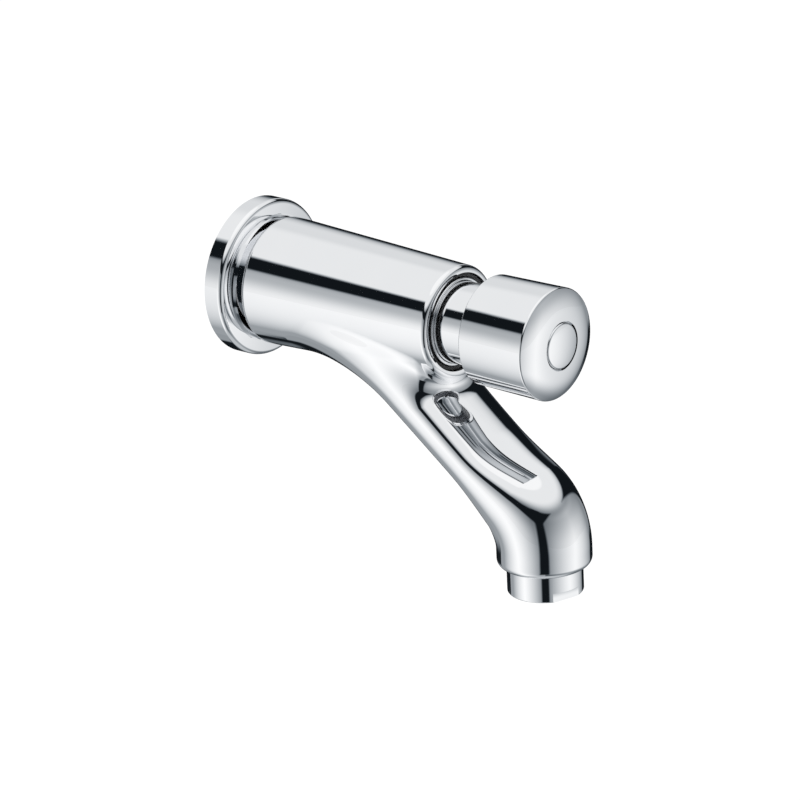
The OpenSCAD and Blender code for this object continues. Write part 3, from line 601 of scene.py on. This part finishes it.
def rubber():
    return finish(
        "black_rubber", ((0.018, 0.018, 0.019), (0.032, 0.032, 0.034)), (0.45, 0.62),
        [(fine_grain, 0.03 * MM)],
    )


def fibre():
    return finish(
        "red_fibre", ((0.30, 0.075, 0.04), (0.42, 0.13, 0.08)), (0.7, 0.9),
        [(pressed_fibres, 0.06 * MM)], patches=400,
    )


def foam():
    return finish(
        "grey_foam", ((0.035, 0.035, 0.038), (0.06, 0.06, 0.063)), (0.75, 0.95),
        [(foam_cells, 0.2 * MM)], patches=300,
    )


def white_plastic():
    return finish(
        "white_acetal", ((0.82, 0.82, 0.79), (0.87, 0.87, 0.85)), (0.32, 0.45),
        [(fine_grain, 0.01 * MM)],
    )


def grey_plastic():
    return finish(
        "grey_acetal", ((0.15, 0.16, 0.18), (0.19, 0.20, 0.22)), (0.35, 0.5),
        [(fine_grain, 0.01 * MM)],
    )


CHROME = chrome()
BRASS = brass()
FINISHES = {
    "chrome": CHROME, "brass": BRASS, "steel": steel(), "rubber": rubber(), "fibre": fibre(),
    "foam": foam(), "white_plastic": white_plastic(), "grey_plastic": grey_plastic(),
}
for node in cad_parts.values():
    for given in node.material_slots:
        given.material = FINISHES[given.material.name]


def level_bores():
    """What is bored along the body's axis: thread, inlet chamber, cartridge bore and recess."""
    return turned("level_bores", closed(
        line((0, BODY_BACK - PAST), (THREAD_BORE_R, BODY_BACK - PAST)),
        line((THREAD_BORE_R, CHAMBER_BACK), (CHAMBER_R, CHAMBER_BACK)),
        line((CHAMBER_R, BARREL_BACK), (BARREL_BORE_R, BARREL_BACK)),
        line((BARREL_BORE_R, GROOVE_BACK), (GROOVE_R, GROOVE_BACK)),
        line((GROOVE_R, GROOVE_BACK + GROOVE_LENGTH), (BARREL_BORE_R, GROOVE_BACK + GROOVE_LENGTH)),
        line((BARREL_BORE_R, SHOULDER), (RECESS_R, SHOULDER)),
        line((RECESS_R, BODY_FRONT + PAST), (0, BODY_FRONT + PAST)),
    ), BRASS)


def outlet_bores():
    """The aerator's seat and the round chamber over it."""
    return turned("outlet_bores", closed(
        line((0, -SPOUT_DROP - PAST), (AERATOR_SEAT_R, -SPOUT_DROP - PAST)),
        line((AERATOR_SEAT_R, AERATOR_SEAT_TOP), (OUTLET_BORE_R, AERATOR_SEAT_TOP)),
        arc((0, -CORNER_DROP), OUTLET_BORE_R, 0, 90, 2 * ARC_STEPS),
    ), BRASS, upright=True)


def waterway():
    """The sloping passage from the groove round the cartridge to the outlet."""
    length = (REACH - GROOVE_BACK - GROOVE_LENGTH / 2) / math.cos(SLOPE)
    piece = turned("waterway", closed(
        line((0, 0), (PASSAGE_R, 0)),
        line((PASSAGE_R, length), (0, length)),
    ), BRASS)
    top = Vector((0, -REACH + length * SLOPE_DIR[0], -CORNER_DROP - length * SLOPE_DIR[1]))
    piece.matrix_world = Matrix.Translation(top) @ Matrix.Rotation(SLOPE, 4, "X")
    return piece


def casting():
    """The cast body and spout as one smooth skin, with the bores cut in."""
    half = BODY_REAR_R + NET_MARGIN
    low = (-half, -(REACH + OUTLET_R + NET_MARGIN), -(SPOUT_DROP + NET_MARGIN))
    high = (half, -(BODY_BACK - NET_MARGIN), half)
    points, quads = skin_net(casting_gap, low, high, NET_STEP)
    points = settle(casting_gap, points, NET_ROUNDS)
    for _ in range(NET_ROUNDS):
        points = settle(casting_gap, relax(points, quads), 2)
    piece = new_object("casting", points, quads, CHROME)
    for cutter in (level_bores(), outlet_bores(), waterway()):
        cut(piece, cutter)
    return piece


def block(low, high):
    """A closed box between two corners."""
    xs, ys, zs = zip(low, high)
    points = [(x, y, z) for x in xs for y in ys for z in zs]
    faces = [(0, 1, 3, 2), (4, 6, 7, 5), (0, 4, 5, 1), (2, 3, 7, 6), (0, 2, 6, 4), (1, 5, 7, 3)]
    return new_object("block", points, faces, CHROME)


def mesh_array(items, name, width):
    """Reads a value of each mesh item into rows."""
    values = np.zeros(len(items) * width)
    items.foreach_get(name, values)
    return values.reshape(-1, width)


def even_normals(piece):
    """Normals that stay square on flat and straight faces, with sharp corners."""
    piece.data.shade_smooth()
    piece.data.set_sharp_from_angle(angle=SHARP)
    step = piece.modifiers.new("even", "WEIGHTED_NORMAL")
    step.keep_sharp = True
    step.weight = 100
    graph = bpy.context.evaluated_depsgraph_get()
    mesh = bpy.data.meshes.new_from_object(piece.evaluated_get(graph))
    piece.modifiers.clear()
    piece.data = mesh


def skin_normals(piece, gap, back_bores):
    """Exact normals on the skin. It and the open recess are plated, and the bores are bare."""
    even_normals(piece)
    mesh = piece.data
    normals = mesh_array(mesh.corner_normals, "vector", 3)
    middles = mesh_array(mesh.polygons, "center", 3)
    flats = mesh_array(mesh.polygons, "normal", 3)
    outwards = (slope_of(gap, middles) * flats).sum(1) > FACING
    on_skin = (np.abs(gap(middles)) < ON_SKIN) & outwards
    sizes = mesh_array(mesh.polygons, "loop_total", 1)[:, 0].astype(int)
    corners = mesh_array(mesh.loops, "vertex_index", 1)[:, 0].astype(int)
    outward = slope_of(gap, mesh_array(mesh.vertices, "co", 3))
    outward /= np.linalg.norm(outward, axis=1)[:, None]
    at_skin = np.repeat(on_skin, sizes)
    normals[at_skin] = outward[corners[at_skin]]
    mesh.normals_split_custom_set([tuple(n) for n in normals])
    plated = on_skin | (-middles[:, 1] > back_bores) & (middles[:, 2] > -RECESS_R - PAST)
    chrome_slot = mesh.materials.find(CHROME.name)
    brass_slot = mesh.materials.find(BRASS.name)
    slots = np.where(plated, chrome_slot, brass_slot).astype(np.int32)
    mesh.polygons.foreach_set("material_index", slots)


def thread_ring(station, first, last):
    """Radii round one ring of a screw thread, which fades out at both ends."""
    angle = np.linspace(0, 2 * math.pi, THREAD_SIDES, endpoint=False)
    wave = 0.5 - 0.5 * np.cos(2 * math.pi * (station / THREAD_PITCH - angle / (2 * math.pi)))
    fade = ease(first, first + THREAD_PITCH, station)
    fade = fade * (1 - ease(last - THREAD_PITCH, last, station))
    lead = THREAD_DEPTH * (1 - ease(first, first + THREAD_PITCH / 2, station))
    return THREAD_R - THREAD_DEPTH * wave * fade - lead


def threaded(first, last):
    """Rings of a screw thread between two stations."""
    count = int(round((last - first) / THREAD_PITCH * THREAD_STEPS))
    stations = np.linspace(first, last, count + 1)
    return [(s, thread_ring(s, first, last)) for s in stations]


def hex_ring(station):
    """Radii round one ring of the hexagon, whose corners are turned off at both ends."""
    angle = np.linspace(0, 2 * math.pi, THREAD_SIDES, endpoint=False)
    sixth = math.pi / 3
    flat = HEX_ACROSS / 2 / np.cos(angle % sixth - sixth / 2)
    depth = min(station - HEX_BACK, HEX_FRONT - station)
    return station, np.minimum(flat, HEX_ACROSS / 2 + depth / math.tan(HEX_SLOPE))


def nipple():
    """The double-ended nipple: two threads, a hexagon between them and the bore."""
    steps = np.concatenate([
        np.linspace(HEX_BACK, HEX_BACK + HEX_CHAMFER, ARC_STEPS),
        np.linspace(HEX_FRONT - HEX_CHAMFER, HEX_FRONT, ARC_STEPS),
    ])
    plain = [(s, np.full(THREAD_SIDES, r)) for s, r in (
        (NIPPLE_FRONT, NIPPLE_BORE_R),
        (NIPPLE_MOUTH_DEPTH - INLET_LENGTH, NIPPLE_BORE_R),
        (NIPPLE_MOUTH_DEPTH - INLET_LENGTH, NIPPLE_MOUTH_R),
        (-INLET_LENGTH, NIPPLE_MOUTH_R),
    )]
    rings = threaded(-INLET_LENGTH, HEX_BACK)
    rings += [hex_ring(s) for s in steps]
    rings += threaded(HEX_FRONT, NIPPLE_FRONT)
    rings += plain
    angle = np.linspace(0, 2 * math.pi, THREAD_SIDES, endpoint=False)
    points = np.concatenate([level_place(r, np.full(THREAD_SIDES, s), angle) for s, r in rings])
    faces = []
    for k in range(len(rings)):
        a, b = k * THREAD_SIDES, (k + 1) % len(rings) * THREAD_SIDES
        for i in range(THREAD_SIDES):
            j = (i + 1) % THREAD_SIDES
            faces.append((a + i, a + j, b + j, b + i))
    piece = new_object("nipple", points, faces, BRASS)
    even_normals(piece)
    return piece


# The pieces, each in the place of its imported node
body = casting()
skin_normals(body, casting_gap, SHOULDER - MM)
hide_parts("valve_body")
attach(body, "tap_body")

flange_back = FLANGE_DEPTH - FLANGE_WALL
flange = turned("cover_plate", closed(
    line((FLANGE_HOLE_R, flange_back), (FLANGE_R - FLANGE_WALL, flange_back)),
    line((FLANGE_R - FLANGE_WALL, 0), (FLANGE_R, 0)),
    arc((FLANGE_R - FLANGE_EDGE, FLANGE_DEPTH - FLANGE_EDGE), FLANGE_EDGE, 0, 90 - FLANGE_SLOPE),
    line((FLANGE_SEAT_R, FLANGE_SEAT), (FLANGE_HOLE_R, FLANGE_SEAT)),
), CHROME)
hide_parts("wall_flange")
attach(flange, "tap_body")

nut = turned("front_nut", closed(
    line((NUT_HOLE_R, NUT_BACK), (NUT_R, NUT_BACK)),
    line((NUT_R, NUT_FLANGE), (NUT_NOSE_R, NUT_FLANGE)),
    arc((NUT_NOSE_R - NUT_BEAD, NUT_FRONT - NUT_BEAD), NUT_BEAD, 0, 180, 2 * ARC_STEPS),
), CHROME)
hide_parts("ring_nut")
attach(nut, "tap_body")

# The black rubber ring fills the groove between the nut and the recess wall; its black is painted
# shade, a dark ring put where the groove is only in shade
shade_seal = turned("painted_shade_seal_ring", closed(
    line((SHADE_SEAL_HOLE_R, SHADE_SEAL_BACK), (SHADE_SEAL_R, SHADE_SEAL_BACK)),
    arc((SHADE_SEAL_R - SHADE_SEAL_EDGE, SHADE_SEAL_FRONT - SHADE_SEAL_EDGE), SHADE_SEAL_EDGE, 0, 90),
    arc((SHADE_SEAL_HOLE_R + SHADE_SEAL_EDGE, SHADE_SEAL_FRONT - SHADE_SEAL_EDGE), SHADE_SEAL_EDGE, 90, 180),
), FINISHES["rubber"])
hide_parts("front_seal")
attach(shade_seal, "tap_body")

collar = turned("collar", closed(
    line((COLLAR_HOLE_R, FLANGE_SEAT), (COLLAR_R, FLANGE_SEAT)),
    line((COLLAR_R, COLLAR_STEP), (COLLAR_NECK_R, COLLAR_STEP)),
    line((COLLAR_NECK_R, BODY_BACK), (COLLAR_HOLE_R, BODY_BACK)),
), CHROME)
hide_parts("spacer_collar")
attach(collar, "tap_body")

neck = turned("neck", closed(
    line((BUSH_R, NECK_BACK), (NECK_FLANGE_R, NECK_BACK)),
    line((NECK_FLANGE_R, NECK_FLANGE), (NECK_R, NECK_FLANGE)),
    arc((NECK_R - NECK_EDGE, NECK_FRONT - NECK_EDGE), NECK_EDGE, 0, 90),
    line((NECK_R - NECK_EDGE, NECK_FRONT), (NECK_BORE_R, NECK_FRONT)),
    line((NECK_BORE_R, NECK_FLOOR_FRONT), (BUSH_R, NECK_FLOOR_FRONT)),
), CHROME)
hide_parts("neck_sleeve")
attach(neck, "tap_body")

rear_edge = (BUTTON_REAR_R - BUTTON_REAR_EDGE, BUTTON_BACK + BUTTON_REAR_EDGE)
pocket_r = DISC_R + DISC_GAP
button = turned("button", closed(
    line((BUTTON_BORE_R, BUTTON_BACK), (BUTTON_REAR_R - BUTTON_REAR_EDGE, BUTTON_BACK)),
    arc(rear_edge, BUTTON_REAR_EDGE, -90, 0),
    *crowned(BUTTON_FRONT_R, BUTTON_RIM, BUTTON_EDGE, BUTTON_CROWN, BUTTON_FULLNESS, pocket_r),
    line((pocket_r, DISC_POCKET), (0, DISC_POCKET)),
    line((0, BUTTON_INNER_FACE), (BUTTON_BORE_R, BUTTON_INNER_FACE)),
), CHROME)
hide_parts("push_button")
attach(button, "button")

disc = turned("centre_disc", closed(
    line((0, DISC_POCKET), (DISC_R, DISC_POCKET)),
    *domed(DISC_R, DISC_RIM, DISC_EDGE, DISC_DOME),
), CHROME)
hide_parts("index_disc")
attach(disc, "button")

ring = turned("aerator_ring", closed(
    line((AERATOR_LEDGE_R, AERATOR_BOTTOM), (AERATOR_R - AERATOR_EDGE, AERATOR_BOTTOM)),
    arc((AERATOR_R - AERATOR_EDGE, AERATOR_BOTTOM + AERATOR_EDGE), AERATOR_EDGE, -90, 0),
    line((AERATOR_R, AERATOR_COLLAR_TOP), (AERATOR_THREAD_R, AERATOR_COLLAR_TOP)),
    line((AERATOR_THREAD_R, AERATOR_TOP), (AERATOR_BORE_R, AERATOR_TOP)),
    line((AERATOR_BORE_R, AERATOR_LEDGE_TOP), (AERATOR_LEDGE_R, AERATOR_LEDGE_TOP)),
), CHROME, upright=True)
for side in (0, math.pi):
    cutter = block((-AERATOR_R, AERATOR_FLATS / 2, -PAST), (AERATOR_R, AERATOR_FLATS, FLAT_HEIGHT))
    turn = Matrix.Rotation(side - FLAT_TURN, 4, "Z")
    cutter.matrix_world = Matrix.Translation((0, -REACH, AERATOR_BOTTOM)) @ turn
    cut(ring, cutter)
even_normals(ring)
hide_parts("aerator_housing")
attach(ring, "tap_body")

inlet = nipple()
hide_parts("inlet_nipple")
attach(inlet, "tap_body")

# The camera stands where the photograph was taken from. Its turn is in degrees, and its lens and
# sensor are in millimetres
CAMERA_PLACE = (-1.47503, -1.29511, 0.70491)
CAMERA_TURN = (68.8358, 2.4208, -51.1743)
CAMERA_LENS = 247.9
CAMERA_SENSOR = 36
camera = bpy.data.objects.new("camera", bpy.data.cameras.new("camera"))
camera.data.lens = CAMERA_LENS
camera.data.sensor_width = CAMERA_SENSOR
camera_turn = Euler([math.radians(angle) for angle in CAMERA_TURN]).to_matrix().to_4x4()
camera.matrix_world = Matrix.Translation(CAMERA_PLACE) @ camera_turn
bpy.context.scene.collection.objects.link(camera)
bpy.context.scene.camera = camera
bpy.context.scene.view_settings.view_transform = "Standard"

# Studio: a white room, and a shell that only mirrors see, with painted reflections on it: dark and
# grey cards, lights, a ceiling, a wall and a floor painted by direction. Directions on the
# shell are in degrees: az turns from the tap's front, -y, towards +x, and el rises from the level
SHELL_R = 2.4
SHELL_CENTRE = (0, -0.075, -0.02)
FLOOR_HEIGHT = -2.6
FLOOR_WIDTH = 30
ROOM_LEVEL = 0.85
FLOOR_COLOUR = (0.82, 0.82, 0.82)
FLOOR_GLOW = 0.36
BLACK = 0.008
COLD_GREY = (("Red", 1.06), ("Green", 1.0), ("Blue", 0.95))

# Two numbers are the directions between which one thing passes into the next, and with four the
# last two are the levels there. Each side of a light is its width and the level at its end
# The lights, ceiling, wall, greys and floor below are painted reflections: levels painted on the
# shell that mirrors see, with no lamp or surface there
LEFT_LIGHT = -116
LEFT_LEVEL = 1.0
LEFT_SIDES = ((48, 0.33), (52, 0.31))
LEFT_TOP = (-8, 17, 1.0, 0.52)
FRONT_LIGHT = 26
FRONT_LEVEL = 0.95
FRONT_SIDES = ((69, 0.22), (58, 0.27))
FRONT_TOP = (-12, 18, 1.0, 0.54)
FRONT_FOOT = (-50, -29, 0.35, 1.0)
LIGHT_FALL = 1.3
LIGHTS_MEET = (-52, -48)
PAINTED_CEILING_EDGE = (17, 34)
PAINTED_CEILING_RIM = (23, 42, 0.15, 0.87)
PAINTED_CEILING_MIDDLE = (45, 62, 0.0, 1.0)
PAINTED_WALL_EDGE = (105, 116)
PAINTED_WALL_TOP = (40, 50, 1.0, 0.0)
PAINTED_WALL_RISE = (-5, 28, 0.17, 0.76)
GREYS_EDGE = (84, 88)
GREYS_TOP = (-20, -16, 1.0, 0.0)
GREYS_START = (-24, -34)
GREYS_LEVELS = (-2, 2, 0.14, 0.3)
PAINTED_FLOOR_EDGE = (-56, -70)
PAINTED_FLOOR_GREY = 0.5

# Edges, leans and bends of the painted dark cards, which are painted reflections on the shell
BAND_START = -152.0
BAND_POINT = -50.0
BAND_END = -13.0
BAND_TOP = 26.5
BAND_LOW_AT = -60.0
BAND_LOW = 11.0
BAND_LEAN = 0.19
BAND_RISE_AT = -69.0
BAND_RISE = 0.2
POINT_LENGTH = 35.6
POINT_DEPTH = 18.5
POINT_BEND = 1.2
STRIP_AZ = (-59.0, -40.0)
STRIP_EL = (-37.0, 27.0)
STRIP_LEAN = 0.15
RIGHT_AZ = (31.0, 108.0)
RIGHT_EL = (30.6, 31.1)
RIGHT_LENGTH = 66
RIGHT_DEPTH = 40.0
RIGHT_BEND = 1.97
BEHIND_AZ = 130.0
BEHIND_EL = -21.0
BEHIND_WIDTH = 0.93
BEHIND_FOOT = 2.6
BEHIND_EDGE = (20, 34, 1.0, 0.0)
LOW_LINE_AZ = 149.0
LOW_LINE_FROM = -40.0
LOW_LINE_LEAN = 1.1
LOW_LINE_SHIFT = (11, 14, 0.0, 9.0)
LOW_LINE_EL = (-60.0, -28.0)
LOW_LINE_WIDTH = 8.4


def seen_directly(tree):
    """1 for camera, glossy and transmission rays, which see the white background."""
    path = tree.nodes.new("ShaderNodeLightPath")
    glossy, through = path.outputs["Is Glossy Ray"], path.outputs["Is Transmission Ray"]
    mirrored = calc(tree, "MAXIMUM", glossy, through)
    return calc(tree, "MAXIMUM", path.outputs["Is Camera Ray"], mirrored)


def white_room():
    """A world that is white where it is seen and lights the object at a plain level."""
    world = bpy.data.worlds.new("room")
    world.use_nodes = True
    tree = world.node_tree
    background = tree.nodes["Background"]
    background.inputs["Color"].default_value = (1, 1, 1, 1)
    level = between(tree, seen_directly(tree), ROOM_LEVEL, 1.0)
    number(tree, background.inputs["Strength"], level)
    bpy.context.scene.world = world


def pale_floor():
    """A pale floor far below, as white as the room where nothing shades it."""
    half = FLOOR_WIDTH / 2
    signs = ((-1, -1), (1, -1), (1, 1), (-1, 1))
    corners = [(half * across, half * along, FLOOR_HEIGHT) for across, along in signs]
    material = bpy.data.materials.new("pale_floor")
    material.use_nodes = True
    tree = material.node_tree
    shader = tree.nodes["Principled BSDF"]
    shader.inputs["Base Color"].default_value = (*FLOOR_COLOUR, 1)
    shader.inputs["Roughness"].default_value = 1
    shader.inputs["Specular IOR Level"].default_value = 0
    shader.inputs["Emission Color"].default_value = (1, 1, 1, 1)
    glow = calc(tree, "MULTIPLY", seen_directly(tree), FLOOR_GLOW)
    number(tree, shader.inputs["Emission Strength"], glow)
    floor = new_object("floor", corners, [(0, 1, 2, 3)], material)


def span(tree, value, low, high, soft):
    """1 between two edges and 0 outside them, with soft edges."""
    (a, b), (c, d) = (
        (calc(tree, "SUBTRACT", edge, soft / 2), calc(tree, "ADD", edge, soft / 2))
        for edge in (low, high)
    )
    rise = ramp(tree, value, a, b)
    fall = ramp(tree, value, c, d, 1.0, 0.0)
    return calc(tree, "MULTIPLY", rise, fall)


def beyond(tree, value, edge, scale):
    """How far a value is above an edge, times a scale, or 0. A negative scale looks below it."""
    off = calc(tree, "SUBTRACT", value, edge)
    return calc(tree, "MAXIMUM", calc(tree, "MULTIPLY", off, scale), 0.0)


def softbox(tree, az, middle, bright, sides):
    """Brightness of a wide light that falls off to both sides."""
    falls = []
    for way, (width, level) in zip((-1, 1), sides):
        off = calc(tree, "MINIMUM", beyond(tree, az, middle, way / width), 1.0)
        falls.append(calc(tree, "MULTIPLY", calc(tree, "POWER", off, LIGHT_FALL), bright - level))
    return calc(tree, "SUBTRACT", bright, calc(tree, "ADD", *falls))


def left_light(tree, az, el):
    """The painted reflection of a long light on the tap's left, dimmer towards its top."""
    level = softbox(tree, az, LEFT_LIGHT, LEFT_LEVEL, LEFT_SIDES)
    return calc(tree, "MULTIPLY", level, ramp(tree, el, *LEFT_TOP))


def front_light(tree, az, el):
    """The painted reflection of a wide light in front of the tap, dimmer above the level and far
    below it.
    """
    level = softbox(tree, az, FRONT_LIGHT, FRONT_LEVEL, FRONT_SIDES)
    level = calc(tree, "MULTIPLY", level, ramp(tree, el, *FRONT_TOP))
    return calc(tree, "MULTIPLY", level, ramp(tree, el, *FRONT_FOOT))


def ceiling(tree, el):
    """The painted reflection of a pale ceiling, greyer where it meets the painted lights."""
    return calc(tree, "MAXIMUM", ramp(tree, el, *PAINTED_CEILING_RIM), ramp(tree, el, *PAINTED_CEILING_MIDDLE))


def painted_wall_reflection(tree, el):
    """The painted reflection of a grey wall behind the tap."""
    return ramp(tree, el, *PAINTED_WALL_RISE)


def left_band(tree, az, el):
    """A painted dark card, seen only in reflections, over the left light, with a thin pointed end
    on its right.
    """
    drop = calc(tree, "MULTIPLY", calc(tree, "SUBTRACT", az, BAND_LOW_AT), BAND_LEAN)
    low = calc(tree, "SUBTRACT", BAND_LOW, drop)
    high = calc(tree, "ADD", BAND_TOP, beyond(tree, az, BAND_RISE_AT, -BAND_RISE))
    across = span(tree, az, BAND_START, BAND_POINT, soft=3.0)
    card = calc(tree, "MULTIPLY", span(tree, el, low, high, soft=3.5), across)
    bow = calc(tree, "POWER", beyond(tree, az, BAND_END, -1 / POINT_LENGTH), POINT_BEND)
    low = calc(tree, "SUBTRACT", BAND_TOP, calc(tree, "MULTIPLY", bow, POINT_DEPTH))
    across = span(tree, az, BAND_POINT, BAND_END, soft=3.0)
    point = calc(tree, "MULTIPLY", span(tree, el, low, BAND_TOP, soft=3.0), across)
    return calc(tree, "MAXIMUM", card, point)


def dark_strip(tree, az, el):
    """The painted reflection of an upright dark gap between the two lights."""
    low = calc(tree, "ADD", STRIP_AZ[0], calc(tree, "MULTIPLY", el, STRIP_LEAN))
    across = span(tree, az, low, STRIP_AZ[1], soft=6.0)
    return calc(tree, "MULTIPLY", across, span(tree, el, *STRIP_EL, soft=2.0))


def right_card(tree, az, el):
    """A painted dark card, seen only in reflections, on the right under the painted ceiling, with a
    curved lower edge.
    """
    bow = calc(tree, "POWER", beyond(tree, az, RIGHT_AZ[0], 1 / RIGHT_LENGTH), RIGHT_BEND)
    low = calc(tree, "SUBTRACT", RIGHT_EL[0], calc(tree, "MULTIPLY", bow, RIGHT_DEPTH))
    card = span(tree, el, low, RIGHT_EL[1], soft=3.5)
    return calc(tree, "MULTIPLY", card, span(tree, az, *RIGHT_AZ, soft=6.0))


def behind(tree, az, el):
    """A painted dark card behind the tap as the camera sees it, whose painted reflection draws the
    tap's thin dark outlines.
    """
    across = calc(tree, "MULTIPLY", calc(tree, "SUBTRACT", az, BEHIND_AZ), BEHIND_WIDTH)
    up = calc(tree, "SUBTRACT", el, BEHIND_EL)
    up = calc(tree, "MAXIMUM", up, calc(tree, "MULTIPLY", up, -BEHIND_FOOT))
    squares = [calc(tree, "MULTIPLY", off, off) for off in (across, up)]
    away = calc(tree, "SQRT", calc(tree, "ADD", *squares))
    return ramp(tree, away, *BEHIND_EDGE)


def low_middle(tree, el):
    """Where the painted narrow dark card low behind the tap stands at each height."""
    below = calc(tree, "SUBTRACT", LOW_LINE_FROM, el)
    leaning = calc(tree, "ADD", LOW_LINE_AZ, calc(tree, "MULTIPLY", below, LOW_LINE_LEAN))
    return calc(tree, "ADD", leaning, ramp(tree, below, *LOW_LINE_SHIFT))


def low_line(tree, az, el):
    """A painted narrow dark card low behind the tap, whose painted reflection draws the line along
    the body's underside.
    """
    low = calc(tree, "SUBTRACT", low_middle(tree, el), LOW_LINE_WIDTH / 2)
    high = calc(tree, "ADD", low, LOW_LINE_WIDTH)
    card = span(tree, az, low, high, soft=4.0)
    return calc(tree, "MULTIPLY", card, span(tree, el, *LOW_LINE_EL, soft=3.0))


def low_greys(tree, az, el):
    """The painted greys on both sides of that card."""
    off = calc(tree, "SUBTRACT", az, low_middle(tree, el))
    level = ramp(tree, off, *GREYS_LEVELS)
    return between(tree, ramp(tree, el, *GREYS_START), BLACK, level)


def studio_level(tree, az, el):
    """How much of the white room reaches a mirror past the painted cards, by direction in degrees:
    a painted reflection.
    """
    lights = (left_light(tree, az, el), front_light(tree, az, el))
    level = between(tree, ramp(tree, az, *LIGHTS_MEET), *lights)
    level = between(tree, ramp(tree, el, *PAINTED_CEILING_EDGE), level, ceiling(tree, el))
    far = calc(tree, "MULTIPLY", ramp(tree, az, *PAINTED_WALL_EDGE), ramp(tree, el, *PAINTED_WALL_TOP))
    level = between(tree, far, level, painted_wall_reflection(tree, el))
    low_right = calc(tree, "MULTIPLY", ramp(tree, az, *GREYS_EDGE), ramp(tree, el, *GREYS_TOP))
    level = between(tree, low_right, level, low_greys(tree, az, el))
    level = between(tree, ramp(tree, el, *PAINTED_FLOOR_EDGE), level, PAINTED_FLOOR_GREY)
    for card in (left_band, dark_strip, right_card, behind, low_line):
        level = between(tree, card(tree, az, el), level, BLACK)
    return level


def card_shell():
    """The shell of painted cards: painted reflections, seen only by mirrors. It takes light away
    from what mirrors see and adds none.
    """
    material = bpy.data.materials.new("painted_reflection_cards")
    material.use_nodes = True
    tree = material.node_tree
    tree.nodes.clear()
    place = tree.nodes.new("ShaderNodeTexCoord")
    unit = tree.nodes.new("ShaderNodeVectorMath")
    unit.operation = "NORMALIZE"
    tree.links.new(place.outputs["Object"], unit.inputs[0])
    parts = tree.nodes.new("ShaderNodeSeparateXYZ")
    tree.links.new(unit.outputs["Vector"], parts.inputs["Vector"])
    forward = calc(tree, "MULTIPLY", parts.outputs["Y"], -1.0)
    az = calc(tree, "DEGREES", calc(tree, "ARCTAN2", parts.outputs["X"], forward))
    el = calc(tree, "DEGREES", calc(tree, "ARCSINE", parts.outputs["Z"]))
    level = studio_level(tree, az, el)
    colour = tree.nodes.new("ShaderNodeCombineColor")
    for name, power in COLD_GREY:
        number(tree, colour.inputs[name], calc(tree, "POWER", level, power))
    gauze = tree.nodes.new("ShaderNodeBsdfTransparent")
    tree.links.new(colour.outputs["Color"], gauze.inputs["Color"])
    output = tree.nodes.new("ShaderNodeOutputMaterial")
    tree.links.new(gauze.outputs["BSDF"], output.inputs["Surface"])
    bpy.ops.mesh.primitive_uv_sphere_add(
        segments=96, ring_count=48, radius=SHELL_R, location=SHELL_CENTRE,
    )
    shell = bpy.context.active_object
    shell.name = "painted_reflection_cards"
    shell.data.materials.append(material)
    shell.visible_camera = False
    shell.visible_diffuse = False
    shell.visible_transmission = False
    shell.visible_volume_scatter = False
    shell.visible_shadow = False


def soft_lamp(name, place, size, power):
    """A large soft lamp that points at the tap."""
    lamp = bpy.data.objects.new(name, bpy.data.lights.new(name, "AREA"))
    lamp.data.size = size
    lamp.data.energy = power
    aim = Vector(SHELL_CENTRE) - Vector(place)
    turn = aim.to_track_quat("-Z", "Y").to_matrix().to_4x4()
    lamp.matrix_world = Matrix.Translation(place) @ turn
    lamp.visible_glossy = False
    bpy.context.scene.collection.objects.link(lamp)


white_room()
pale_floor()
card_shell()
soft_lamp("key_lamp", place=(-1.3, -1.5, 1.5), size=1.4, power=8)
soft_lamp("fill_lamp", place=(1.6, -1.0, 0.8), size=1.4, power=3)
